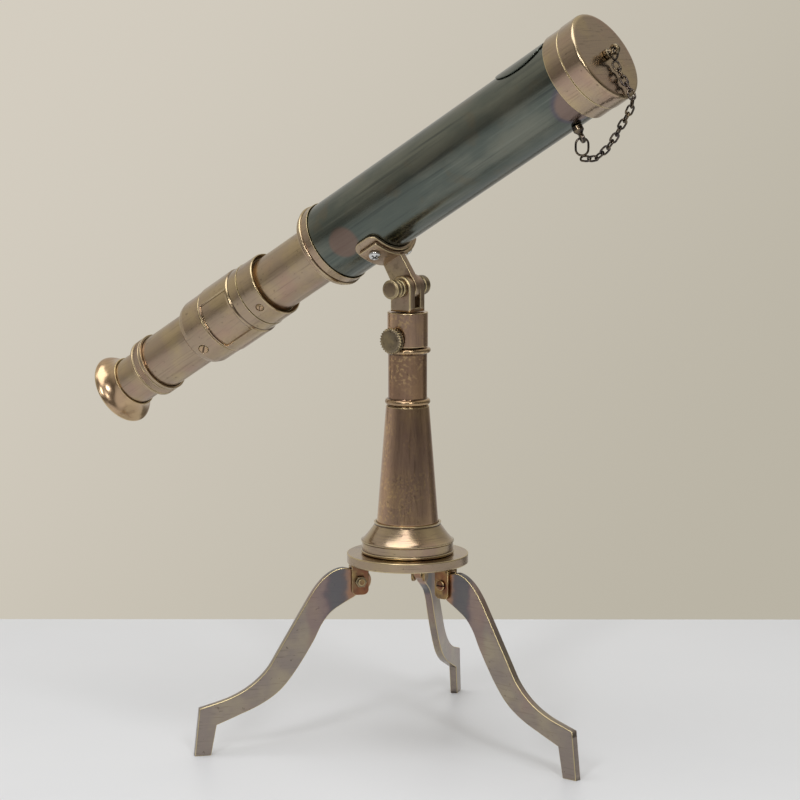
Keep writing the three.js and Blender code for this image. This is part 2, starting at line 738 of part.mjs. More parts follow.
// ---------- draw tubes, focus grip and eyepiece ----------
function focusTube() {
  return piece('large_draw_tube', 'antique_brass', tubeAlong(-92, -14, focusTubeRadius, 15.4));
}

/** Bush on the inner end of the large draw tube: it slides in the barrel and stops behind the guide. */
function drawStopBush() {
  const bush = tubeAlong(-17.6, -9.6, barrelBore - 0.5, focusTubeRadius + gap);
  return piece('draw_stop_bush', 'dark_knurled', bush);
}

const innerSleeveRadius = 18;
const sleeveRear = -139.5;
const sleeveFront = -83;

/** Sleeve that joins shoulder, grip and front ring, with the slot that keeps the eye tube from turning. */
function focusSleeve() {
  const sleeve = tubeAlong(sleeveRear, sleeveFront, innerSleeveRadius, focusTubeRadius + 0.4);
  const slot = block([-124, -1.5, 10], [-110, 1.5, 25]);
  return piece('focus_sleeve', 'dark_knurled', cut(sleeve, slot.rotateX(Math.PI - focusKeyAngle)));
}

/** Key on the eye tube that runs in the sleeve's slot. */
function focusKey() {
  const key = block([-122.6, -1.1, eyeTubeRadius + gap], [-119.4, 1.1, innerSleeveRadius - 0.2]);
  return piece('focus_key', 'steel_screw', key.rotateX(Math.PI - focusKeyAngle));
}

const collarScrewAngle = THREE.MathUtils.degToRad(51.6);
const collarScrewStation = -135.4;
const collarScrewRadius = 2.7;

/** Rounded collar behind the grip, held by a slotted screw. */
function rearShoulder() {
  const over = innerSleeveRadius + gap;
  const end = gripRear - gap;
  const shoulder = turnedAlong([
    [shoulderRear, eyeTubeRadius + 0.4], [shoulderRear, 18.2], [shoulderRear + 1.2, 19.2],
    [shoulderRear + 4, 19.8], [end - 1, 20.1], [end, 19.8], [end, over], [sleeveRear - gap, over],
    [sleeveRear - gap, eyeTubeRadius + 0.4],
  ]);
  const pocket = pinUp(innerSleeveRadius + 1.1, 24, collarScrewRadius + gap);
  radially(pocket, collarScrewStation, collarScrewAngle);
  return piece('rear_shoulder', 'antique_brass', cut(shoulder, pocket));
}

/** Flush slotted screw in the shoulder's pocket. */
function collarScrew() {
  const low = innerSleeveRadius + 1.1 + gap;
  const high = 20.5;
  const screw = pinUp(low, high, collarScrewRadius);
  const slot = block([-4, -0.4, high - 0.6], [4, 0.4, high + 1]);
  const slotted = radially(cut(screw, slot), collarScrewStation, collarScrewAngle);
  return piece('collar_screw', 'antique_brass', slotted);
}

/** Focus grip: two raised lobes with a sunk panel between them, and a plain band in front. */
function focusGrip() {
  const inner = innerSleeveRadius + gap;
  const bandRear = -99.4;
  const panelRear = gripRear + 1.4;
  const panelHalfAngle = THREE.MathUtils.degToRad(43.4);
  const facing = THREE.MathUtils.degToRad(74.6); // the panels' middle, counted from below
  const blank = turnedAlong([
    [gripRear, inner], [gripRear, 20.1], [gripRear + 1.2, gripLobeRadius], [bandRear - 1.2, gripLobeRadius],
    [bandRear, 19.8], [gripFront, 19.8], [gripFront, inner],
  ], 24);
  const panelTool = turnedAlong([
    [panelRear, gripPanelRadius], [panelRear, 26], [bandRear - 2, 26], [bandRear - 2, gripPanelRadius],
  ], 24);
  const reach = 40;
  const wedge = new THREE.Shape();
  wedge.moveTo(0, 0);
  wedge.lineTo(reach, -reach * Math.tan(panelHalfAngle));
  wedge.lineTo(reach, reach * Math.tan(panelHalfAngle));
  const sector = new THREE.ExtrudeGeometry(wedge, { depth: 60, bevelEnabled: false });
  sector.translate(0, 0, -30).rotateY(Math.PI / 2).translate(-114, 0, 0).rotateX(-Math.PI / 2);
  const panels = [facing, facing + Math.PI].map((angle) =>
    common(panelTool.clone(), sector.clone().rotateX(Math.PI / 2 - angle)),
  );
  return piece('focus_grip', 'antique_brass', cut(blank, ...panels));
}

const ringScrewAngle = THREE.MathUtils.degToRad(55.6);
const ringScrewStation = -86;
const ringScrewRadius = 2.1;

/** Ring in front of the grip, fixed to the large draw tube by a small round screw. */
function collarFrontRing() {
  const rear = gripFront + gap;
  const over = innerSleeveRadius + gap;
  const bore = focusTubeRadius + gap;
  const ring = turnedAlong([
    [rear, over], [rear, 19.6], [frontRingFront - 0.6, 19.4], [frontRingFront, 19],
    [frontRingFront, 18.7], [frontRingFront - 1.9, 17.3], [frontRingFront - 1.9, bore],
    [sleeveFront + gap, bore], [sleeveFront + gap, over],
  ]);
  const pocket = pinUp(innerSleeveRadius + 0.6, 24, ringScrewRadius + gap);
  radially(pocket, ringScrewStation, ringScrewAngle);
  return piece('collar_front_ring', 'antique_brass', cut(ring, pocket));
}

function ringScrew() {
  const low = innerSleeveRadius + 0.6 + gap;
  const dome = turnedUp([
    [low, 0], [low, ringScrewRadius], [19.5, ringScrewRadius], [20, ringScrewRadius * 0.6], [20.1, 0],
  ], pinSides);
  return piece('ring_screw', 'polished_brass', radially(dome, ringScrewStation, ringScrewAngle));
}

function eyeTube() {
  const rear = knurledRingRear + 1.6;
  return piece('small_draw_tube', 'antique_brass', tubeAlong(rear, -108, eyeTubeRadius, 15));
}

/** Ring with a knurled band between plain lips at the eye tube's mouth. */
function knurledRing() {
  const lipStation = knurledRingRear + 1.3;
  const bore = ocularRadius + 0.4;
  return piece('knurled_ring', 'antique_brass', turnedAlong([
    [knurledRingRear, bore], [knurledRingRear, knurledRingRadius - 0.5],
    [knurledRingRear + 0.5, knurledRingRadius], [knurledRingFront, knurledRingRadius],
    [knurledRingFront, eyeTubeRadius + gap], [lipStation, eyeTubeRadius + gap], [lipStation, bore],
  ]));
}

function erectorTube() {
  return piece('erector_tube', 'dark_knurled', turnedAlong([
    [-132, 13], [-132, 14.7], [-109, 14.7], [-109, 13], [-112.6, 13], [-112.6, 11.6],
    [-128.4, 11.6], [-128.4, 13],
  ]));
}

function ocularTube() {
  return piece('ocular_tube', 'antique_brass', tubeAlong(-206.5, -150, ocularRadius, 13));
}

/** Flared bell with a rolled rim, socketed on the ocular tube. */
function eyeCup() {
  const socket = ocularRadius + gap;
  const floor = -206.8;
  const eyeHole = 6;
  return piece('eye_cup', 'polished_brass', turnedAlong([
    [eyeCupFront, socket], [eyeCupFront, socket + 0.9], [eyeCupRear + 8.4, socket + 1.6],
    [eyeCupRear + 5, eyeCupRadius - 3], [eyeCupRear + 2.6, eyeCupRadius - 0.7],
    [eyeCupRear + 1, eyeCupRadius],
    [eyeCupRear, eyeCupRadius - 0.7], [eyeCupRear + 1.2, eyeCupRadius - 2.6],
    [eyeCupRear + 4, eyeCupRadius - 7], [eyeCupRear + 6.2, 9], [eyeCupRear + 7, eyeHole], [floor, eyeHole],
    [floor, socket],
  ]));
}

// ---------- assembly ----------
const tripod = gather(...legAzimuths.map(tripodLeg));

const column = gather(baseDisc(), baseFlange(), columnCone(), columnNeck(), tieBolt());

const head = gather(headSleeve(), fork(), thumbScrew(), pivotBolt(), pivotNut());

const telescope = gather(
  mainBarrel(),
  barrelRearRing(),
  ovalPlaque(),
  saddlePad(),
  cradleBracket(),
  cradleScrew('cradle_screw_near', cradleScrewAngle),
  cradleScrew('cradle_screw_far', -cradleScrewAngle),
  objectiveCell(),
  piece('objective_lens', 'optical_glass', lensGeometry(20.7, lensSeat + gap, 2.6, 1.6)),
  lensRetainingRing(),
  lensCap(),
  capPost(),
  capRing(),
  chainRun('chain_cap_run', 0, 0.5),
  chainRun('chain_barrel_run', 0.57, 1),
  chainShackle(),
  barrelPost(),
  focusTube(),
  drawStopBush(),
  focusSleeve(),
  rearShoulder(),
  collarScrew(),
  focusGrip(),
  collarFrontRing(),
  ringScrew(),
  eyeTube(),
  focusKey(),
  knurledRing(),
  erectorTube(),
  piece('erector_lens_rear', 'optical_glass', lensGeometry(12.7, -131.4, 1.6, 0.9)),
  piece('erector_lens_front', 'optical_glass', lensGeometry(12.7, -111.6, 1.6, 0.9)),
  ocularTube(),
  piece('field_lens', 'optical_glass', lensGeometry(12.7, -153.4, 1.6, 0.9)),
  piece('eye_lens', 'optical_glass', lensGeometry(12.7, -205.2, 1.6, 0.9)),
  eyeCup(),
);
telescope.rotation.y = -elevation;
telescope.position.set(
  -axisAbovePivot * Math.sin(elevation),
  0,
  pivotHeight + axisAbovePivot * Math.cos(elevation),
);

const tableTelescope = gather(tripod, column, head, telescope);
const bounds = new THREE.Box3().setFromObject(tableTelescope, true);
const centre = bounds.getCenter(new THREE.Vector3());
tableTelescope.position.set(-centre.x, -centre.y, -bounds.min.z);

export default tableTelescope;
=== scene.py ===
# %% [markdown]
# # A table telescope in antique brass
# The real object is a small draw telescope that tilts and turns on a brass column with three folding
# legs. Nearly all of it was made on a lathe, bent from strip or cut from plate. So nearly every shape
# here is one of four surfaces: a profile turned round an axis, a plate with rounded edges, a wire carried
# along a loop, or a round screw head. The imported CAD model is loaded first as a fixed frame: it says where
# everything is and how it moves, and the detailed pieces made here stand for its plain solids.

import json

import bmesh
import bpy
import numpy as np
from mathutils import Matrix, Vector


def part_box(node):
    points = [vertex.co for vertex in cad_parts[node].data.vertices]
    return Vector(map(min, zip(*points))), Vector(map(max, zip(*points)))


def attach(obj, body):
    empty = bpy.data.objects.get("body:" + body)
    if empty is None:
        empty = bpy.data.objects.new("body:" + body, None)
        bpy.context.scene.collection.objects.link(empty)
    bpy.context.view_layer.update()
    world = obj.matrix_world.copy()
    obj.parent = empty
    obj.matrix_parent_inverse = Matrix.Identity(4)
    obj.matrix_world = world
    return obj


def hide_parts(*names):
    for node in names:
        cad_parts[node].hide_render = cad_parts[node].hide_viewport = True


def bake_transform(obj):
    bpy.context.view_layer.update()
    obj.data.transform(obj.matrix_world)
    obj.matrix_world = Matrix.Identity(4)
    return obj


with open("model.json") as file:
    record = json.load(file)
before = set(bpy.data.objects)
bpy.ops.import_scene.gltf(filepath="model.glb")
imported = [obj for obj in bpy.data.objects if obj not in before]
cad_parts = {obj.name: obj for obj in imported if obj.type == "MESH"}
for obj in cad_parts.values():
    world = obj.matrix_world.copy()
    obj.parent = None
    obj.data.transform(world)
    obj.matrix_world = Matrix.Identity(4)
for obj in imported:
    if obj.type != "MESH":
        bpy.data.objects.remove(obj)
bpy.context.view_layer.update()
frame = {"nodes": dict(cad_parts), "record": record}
bodies = frame["record"]["behaviour"]["bodies"]
body_of_node = {node: body for body, nodes in bodies.items() for node in nodes}

# %% [markdown]
# ## Places to build in
# It is easiest to draw a turned piece standing up round its own axis, in millimetres. A place is a function
# that carries such points into the row frame in metres. There are three: round the column, in the tilted
# tube's frame with X along the tube, and in a leg's frame with X pointing outwards.

# %% Places
MM = 0.001
ELEVATION = np.radians(31.5)
PIVOT_HEIGHT = 258.3
AXIS_ABOVE_PIVOT = 44.8
LEG_AZIMUTHS = (110.5, 229.5, 353.5)

disc_low, disc_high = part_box("base_disc")
COLUMN_AXIS = np.array([(disc_low.x + disc_high.x) / 2, (disc_low.y + disc_high.y) / 2, 0.0])


def on_column(points):
    """Millimetres round the column's axis become metres in the row frame."""
    return points * MM + COLUMN_AXIS


def on_tube(points):
    """X along the tube: turned up by the elevation about Y, then set above the pivot."""
    x, y, z = points.T
    cosine, sine = np.cos(ELEVATION), np.sin(ELEVATION)
    turned_up = np.stack([x * cosine - z * sine, y, x * sine + z * cosine], axis=1)
    lift = np.array([-AXIS_ABOVE_PIVOT * sine, 0.0, PIVOT_HEIGHT + AXIS_ABOVE_PIVOT * cosine])
    return on_column(turned_up + lift)


def on_leg(azimuth):
    """The place of one leg: X outwards, turned about +Z by the leg's azimuth."""
    cosine, sine = np.cos(np.radians(azimuth)), np.sin(np.radians(azimuth))

    def place(points):
        x, y, z = points.T
        return on_column(np.stack([x * cosine - y * sine, x * sine + y * cosine, z], axis=1))

    return place


print("column axis at", COLUMN_AXIS.round(4).tolist())

# %% [markdown]
# ## Directions
# A piece is drawn along +Z and then laid down: along the tube, sideways like the knobs, or radially out of
# the tube like its screws. A bent plate is drawn flat and then wrapped round the tube.


# %% Directions
def along(points):
    """+Z becomes the tube's +X. Angles then count from below the tube towards -Y."""
    x, y, z = points.T
    return np.stack([z, -y, -x], axis=1)


def sideways(points):
    """+Z becomes -Y, the side that the knobs face."""
    x, y, z = points.T
    return np.stack([x, -z, y], axis=1)


def crosswise(points):
    """A plate drawn in X and Y with its thickness along Z is stood up: drawn Y becomes height."""
    x, y, z = points.T
    return np.stack([x, z, y], axis=1)


def raised(points, height, outwards=0.0):
    """Lifted along Z, and moved along X if told to."""
    return points + np.array([outwards, 0.0, height])


def radially(points, station, angle):
    """+Z becomes the direction away from the tube at an angle from below; drawn X stays along the tube."""
    x, y, z = points.T
    angle = np.radians(angle)
    return np.stack([
        station + x,
        -z * np.sin(angle) - y * np.cos(angle),
        -z * np.cos(angle) + y * np.sin(angle),
    ], axis=1)


def wrapped(points, station, angle, radius):
    """Drawn X runs along the tube, drawn Y round it at this radius, and drawn Z outwards."""
    x, y, z = points.T
    turn = np.radians(angle) + y / radius
    return np.stack([station + x, -(radius + z) * np.sin(turn), -(radius + z) * np.cos(turn)], axis=1)


# %% [markdown]
# ## Soft corners
# No real edge is perfectly sharp: polishing rounds it, and the rounded line is what catches the light.
# Each corner of a profile is replaced by a short curve. The same step notes which points lie on an outer
# edge, where polish wears the brown off, and which lie in an inner corner, where polish leaves it dark.

# %% Soft corners
SUPPORT = 0.2  # mm of flat kept beside each rounded corner, so that the shading stays flat beyond it


def soften(profile, radius, steps=3):
    """Rounds a closed profile's corners: each is the curve (1-t)^2 A + 2t(1-t) P + t^2 C from A to C
    past the corner P. Returns the points and their wear, +1 on an outer edge and -1 in an inner corner."""
    corner = np.asarray(profile, float)
    if np.sum(corner[:, 0] * np.roll(corner[:, 1], -1) - np.roll(corner[:, 0], -1) * corner[:, 1]) < 0:
        corner = corner[::-1]
    before = corner - np.roll(corner, 1, axis=0)
    after = np.roll(corner, -1, axis=0) - corner
    before_length = np.maximum(np.linalg.norm(before, axis=1), 1e-9)[:, None]
    after_length = np.maximum(np.linalg.norm(after, axis=1), 1e-9)[:, None]
    before, after = before / before_length, after / after_length
    free = (corner[:, 1] > 0)[:, None]
    shortest = np.minimum(before_length, after_length)
    cut = np.minimum(radius, 0.4 * shortest) * free
    reach = np.minimum(radius + SUPPORT, 0.48 * shortest) * free
    t = np.linspace(0, 1, steps + 1)[None, :, None]
    a, c = (corner - cut * before)[:, None], (corner + cut * after)[:, None]
    curve = (1 - t) ** 2 * a + 2 * t * (1 - t) * corner[:, None] + t**2 * c
    ends = (corner - reach * before)[:, None], (corner + reach * after)[:, None]
    points = np.concatenate([ends[0], curve, ends[1]], axis=1)
    turn = np.arcsin(np.clip(before[:, 0] * after[:, 1] - before[:, 1] * after[:, 0], -1, 1))
    wear_and_shade_values = np.clip(turn / np.radians(50), -1, 1)[:, None] * np.ones(steps + 3)
    wear_and_shade_values[:, 0] = wear_and_shade_values[:, -1] = 0
    points, wear_and_shade_values = points.reshape(-1, 2), wear_and_shade_values.reshape(-1)
    apart = np.linalg.norm(points - np.roll(points, 1, axis=0), axis=1) > 1e-6
    return points[apart], wear_and_shade_values[apart]


print("a softened square has", len(soften([(0, 1), (4, 1), (4, 5), (0, 5)], 0.5)[0]), "points")

# %% [markdown]
# ## Turned pieces
# A lathe cuts the same profile all the way round, so a turned piece is a grid: one direction follows the
# profile and the other goes round the axis. A function may change the radius as it goes, which is how the
# knurls and the sunk panels of the focus grip are cut.


# %% Grids and turned pieces
def grid_faces(rows, columns, closed_rows):
    """Four-sided faces between neighbouring rows and columns of points that are numbered row by row.
    Columns always close on themselves, and rows do if they are told to."""
    last_row = rows if closed_rows else rows - 1
    row, column = np.meshgrid(np.arange(last_row), np.arange(columns), indexing="ij")
    next_row, next_column = (row + 1) % rows, (column + 1) % columns
    corners = [row * columns + column, row * columns + next_column,
               next_row * columns + next_column, next_row * columns + column]
    return np.stack(corners, axis=-1).reshape(-1, 4)


def turned(profile, sides=120, corner=0.3, reshape=None, angles=None):
    """Points (r cos a, r sin a, h) for every (h, r) of a closed profile and every angle a."""
    line, wear_and_shade_values = soften(profile, corner)
    angle = np.linspace(0, 2 * np.pi, sides, endpoint=False) if angles is None else angles
    height = line[:, :1] + 0 * angle
    radius = line[:, 1:] + 0 * angle
    if reshape is not None:
        radius = reshape(height, radius, angle)
    points = np.stack([radius * np.cos(angle), radius * np.sin(angle), height], axis=-1).reshape(-1, 3)
    faces = grid_faces(len(line), len(angle), closed_rows=True)
    return points, faces.tolist(), np.repeat(wear_and_shade_values, len(angle))


# %% [markdown]
# ## Plates
# Legs, ears, the fork and the bracket are cut from plate. A plate is its outline repeated in layers: the
# layers move inwards by the edge radius near both faces, which rounds the edges. Plates that are bent later
# also need points inside their faces, so their outline shrinks to the middle in rings.


# %% Plates
def inset_directions(outline):
    """For each outline point, the inward direction that keeps both of its sides parallel:
    (m + n) / (1 + m.n) with m and n the inward normals of the two sides."""
    before = outline - np.roll(outline, 1, axis=0)
    before /= np.linalg.norm(before, axis=1)[:, None]
    after = np.roll(before, -1, axis=0)
    m = np.stack([-before[:, 1], before[:, 0]], axis=1)
    n = np.stack([-after[:, 1], after[:, 0]], axis=1)
    return (m + n) / np.maximum(1 + np.sum(m * n, axis=1), 0.4)[:, None]


def plate(outline, low, high, edges=(0.4, 0.4), rings=0, steps=3):
    """An outline, anticlockwise, between two heights. Layer k near a face is inset by e (1 - sin k) and
    stands e (1 - cos k) from it, for k from 0 to a right angle and e the face's edge radius."""
    outline = np.asarray(outline, float)
    inward = inset_directions(outline)
    quarter = np.linspace(0, np.pi / 2, steps + 1)

    def edge_layers(radius, face, towards_middle):
        """Inset, height and wear of each layer, from the flat face to the full outline."""
        rounded = [
            (radius * (1 - np.sin(k)), face + towards_middle * radius * (1 - np.cos(k)), np.sin(2 * k))
            for k in quarter
        ]
        return [(radius + SUPPORT, face, 0.0)] + rounded

    layers = edge_layers(edges[0], low, 1) + edge_layers(edges[1], high, -1)[::-1]
    count = len(outline)
    drawn = [np.column_stack([outline + inset * inward, np.full(count, z)]) for inset, z, _ in layers]
    wear_and_shade_values = [np.full(count, wear_and_shade) for *_, wear_and_shade in layers]
    if rings == 0:
        faces = grid_faces(len(drawn), count, closed_rows=False).tolist()
        top = (len(drawn) - 1) * count
        caps = [list(range(count))[::-1], list(range(top, top + count))]
        return np.concatenate(drawn), faces + caps, np.concatenate(wear_and_shade_values)
    shares = np.linspace(1, 0, rings + 1)[1:]
    middle = outline.mean(axis=0)

    def shrunk(layer, share):
        """A layer pulled in towards the middle of the plate."""
        return np.column_stack([middle + share * (layer[:, :2] - middle), layer[:, 2]])

    drawn = [shrunk(drawn[0], s) for s in shares[::-1]] + drawn + [shrunk(drawn[-1], s) for s in shares]
    wear_and_shade_values = [np.zeros(count)] * rings + wear_and_shade_values + [np.zeros(count)] * rings
    faces = grid_faces(len(drawn), count, closed_rows=False).tolist()
    return np.concatenate(drawn), faces, np.concatenate(wear_and_shade_values)


def rounded_rectangle(half_x, half_y, radius, steps=6):
    """Four quarter circles round the corners' centres, anticlockwise."""
    turn = np.linspace(0, np.pi / 2, steps + 1)
    quarters = [
        (half_x - radius, half_y - radius, 0), (radius - half_x, half_y - radius, 1),
        (radius - half_x, radius - half_y, 2), (half_x - radius, radius - half_y, 3),
    ]
    return np.concatenate([
        np.column_stack([
            x + radius * np.cos(turn + q * np.pi / 2),
            y + radius * np.sin(turn + q * np.pi / 2),
        ])
        for x, y, q in quarters
    ])


def filled_in(outline, step):
    """Adds points along long sides, so that no two neighbours are much more than a step apart."""
    following = np.roll(outline, -1, axis=0)
    parts = np.maximum(np.ceil(np.linalg.norm(following - outline, axis=1) / step).astype(int), 1)
    start = np.repeat(outline, parts, axis=0)
    share = np.concatenate([np.arange(n) / n for n in parts])[:, None]
    return start + share * np.repeat(following - outline, parts, axis=0)


# %% [markdown]
# ## Wires
# Rings and chain links are round wire bent into a flat loop. A circle is carried along the loop, square to
# its direction.


# %% Wires
def wire_loop(line, wire, sides=10):
    """Round a closed line in the XY plane: line + wire (cos a outwards + sin a upwards)."""
    ahead = np.roll(line, -1, axis=0) - np.roll(line, 1, axis=0)
    ahead /= np.linalg.norm(ahead, axis=1)[:, None]
    outward = np.column_stack([ahead[:, 1], -ahead[:, 0], np.zeros(len(line))])
    angle = np.linspace(0, 2 * np.pi, sides, endpoint=False)[None, :, None]
    upward = np.array([0, 0, 1.0])
    points = line[:, None] + wire * (np.cos(angle) * outward[:, None] + np.sin(angle) * upward)
    faces = grid_faces(len(line), sides, closed_rows=True).tolist()
    return points.reshape(-1, 3), faces, np.zeros(len(line) * sides)


def oval_line(half_length, half_width, count):
    """Two half circles joined by straight sides, for x = cos and y = sin stretched along X."""
    angle = np.linspace(0, 2 * np.pi, count, endpoint=False)
    stretch = half_length - half_width
    x = half_width * np.cos(angle) + stretch * np.tanh(6 * np.cos(angle))
    return np.column_stack([x, half_width * np.sin(angle), np.zeros(count)])


# %% [markdown]
# ## Screw heads
# A square grid pressed into a disc keeps its cells small in the middle, where the slot is. The height of
# each point is the dome less the slot, so the slot is cut into the surface itself.


# %% Screw heads
def slot(width, depth):
    """A straight slot along X with soft walls."""
    def cut(x, y):
        return depth * np.clip((width / 2 - np.abs(y)) / 0.12 + 0.5, 0, 1)
    return cut


def cross(length, width, depth):
    """Two short slots at right angles."""
    def bar(along_bar, across_bar):
        ends = np.clip((length / 2 - np.abs(along_bar)) / 0.3 + 0.5, 0, 1)
        return ends * np.clip((width / 2 - np.abs(across_bar)) / 0.15 + 0.5, 0, 1)

    def cut(x, y):
        return depth * np.maximum(bar(x, y), bar(y, x))
    return cut


RIM_DROP = 0.1  # how far a head's rim drops, over its radius


def screw_head(radius, height, dome, recess, cells=40):
    """Grid (u, v) from -1 to 1 becomes x = u sqrt(1 - v^2/2), y = v sqrt(1 - u^2/2). The top stands at
    height + dome (1 - q^2) - drop q^12 less the recess, with q the distance from the middle over the
    radius."""
    side = np.linspace(-1, 1, cells + 1)
    u, v = np.meshgrid(side, side, indexing="ij")
    x, y = radius * u * np.sqrt(1 - v**2 / 2), radius * v * np.sqrt(1 - u**2 / 2)
    q = np.clip(np.hypot(x, y) / radius, 0, 1)
    z = height + dome * (1 - q**2) - RIM_DROP * radius * q**12 - recess(x, y)
    number = np.arange((cells + 1) ** 2).reshape(cells + 1, cells + 1)
    top = np.stack([number[:-1, :-1], number[1:, :-1], number[1:, 1:], number[:-1, 1:]], axis=-1)
    top = top.reshape(-1, 4)
    border = np.concatenate([number[:-1, 0], number[-1, :-1], number[:0:-1, -1], number[0, :0:-1]])
    points = np.stack([x, y, z], axis=-1).reshape(-1, 3)
    foot = points[border] * np.array([1, 1, 0])
    feet = len(points) + np.arange(len(border))
    skirt = np.stack([border, feet, np.roll(feet, -1), np.roll(border, -1)], axis=-1)
    # The rim wears bright. The slot or cross is marked -2, which the finishes paint dark as painted shade in
    # the recess.
    wear_and_shade_values = np.clip(6 * (q - 0.8), 0, 1) - 2 * (recess(x, y) > 0.1)
    wear_and_shade_values = np.concatenate([wear_and_shade_values.reshape(-1), 0 * feet])
    return np.concatenate([points, foot]), top.tolist() + skirt.tolist() + [feet.tolist()], wear_and_shade_values


# %% [markdown]
# ## From points to a piece
# Points and faces go into a mesh through from_pydata. Two attributes go with them: the wear of each point,
# which also carries painted shade in screw slots, and its place as drawn in millimetres, so that a finish
# can follow the grain of its own piece wherever that piece points. Doubled points at poles are merged and
# all faces are turned outwards.


# %% Making pieces
def together(*skins):
    """Several closed surfaces as one: points and wear follow each other, and faces count on."""
    points, faces, wear_and_shade_values, count = [], [], [], 0
    for skin_points, skin_faces, skin_wear_and_shade in skins:
        points.append(skin_points)
        wear_and_shade_values.append(skin_wear_and_shade)
        faces += [[corner + count for corner in face] for face in skin_faces]
        count += len(skin_points)
    return np.concatenate(points), faces, np.concatenate(wear_and_shade_values)


def moved(skin, way, *settings):
    """The same surface with its points carried by a direction or place."""
    points, faces, wear_and_shade_values = skin
    return way(points, *settings), faces, wear_and_shade_values


def on_side(skin, height, outwards=0.0):
    """Laid down to face the knobs' side, then lifted to its height."""
    return moved(moved(skin, sideways), raised, height, outwards)


def make_piece(name, skin, place, finish, *nodes, rides=True):
    """Puts the surface into the scene at its place, gives it its finish and lets it stand for CAD nodes."""
    points, faces, wear_and_shade_values = skin
    mesh = bpy.data.meshes.new(name)
    mesh.from_pydata(place(points).tolist(), [], faces)
    # This attribute holds edge wear and corner patina, and also painted shade in screw slots and crosses.
    mesh.attributes.new("wear_and_shade", "FLOAT", "POINT").data.foreach_set("value", wear_and_shade_values.astype(np.float32))
    drawn = mesh.attributes.new("drawn", "FLOAT_VECTOR", "POINT")
    drawn.data.foreach_set("vector", points.astype(np.float32).ravel())
    work = bmesh.new()
    work.from_mesh(mesh)
    bmesh.ops.remove_doubles(work, verts=work.verts, dist=2e-7)
    bmesh.ops.dissolve_degenerate(work, edges=work.edges, dist=1e-8)
    loose = [vertex for vertex in work.verts if not vertex.link_faces]
    bmesh.ops.delete(work, geom=loose, context="VERTS")
    bmesh.ops.recalc_face_normals(work, faces=work.faces)
    work.to_mesh(mesh)
    work.free()
    mesh.polygons.foreach_set("use_smooth", np.ones(len(mesh.polygons), bool))
    mesh.materials.append(finish)
    made = bpy.data.objects.new(name, mesh)
    bpy.context.scene.collection.objects.link(made)
    if rides:
        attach(made, body_of_node[nodes[0]])
    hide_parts(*nodes)
    print(f"{name}: {len(mesh.polygons)} faces")
    return made


# %% [markdown]
# ## Shader arithmetic
# A finish is mostly sums of patterns. A small class holds one output socket and adds a Math node whenever
# it is added to or multiplied by something, so that a finish reads like a formula. A workbench makes
# every node through one method.


# %% Shader arithmetic
class Value:
    """One number that varies over a surface. Arithmetic on it adds Math nodes."""

    def __init__(self, bench, socket):
        self.bench, self.socket = bench, socket

    def _with(self, operation, *values):
        return self.bench.value("ShaderNodeMath", {"operation": operation}, dict(enumerate(values)))

    def __add__(self, other):
        return self._with("ADD", self, other)

    def __sub__(self, other):
        return self._with("SUBTRACT", self, other)

    def __rsub__(self, other):
        return self._with("SUBTRACT", other, self)

    def __mul__(self, other):
        return self._with("MULTIPLY", self, other)

    __radd__, __rmul__ = __add__, __mul__

    def between(self, low, high):
        """0 below low, 1 above high and smooth between them."""
        return self.bench.value(
            "ShaderNodeMapRange", {"interpolation_type": "SMOOTHSTEP"},
            {"Value": self, "From Min": low, "From Max": high}, "Result",
        )

    def band(self, low, high, soft):
        """1 between low and high, fading to 0 over soft on both sides."""
        return self.between(low - soft, low) * (1 - self.between(high, high + soft))


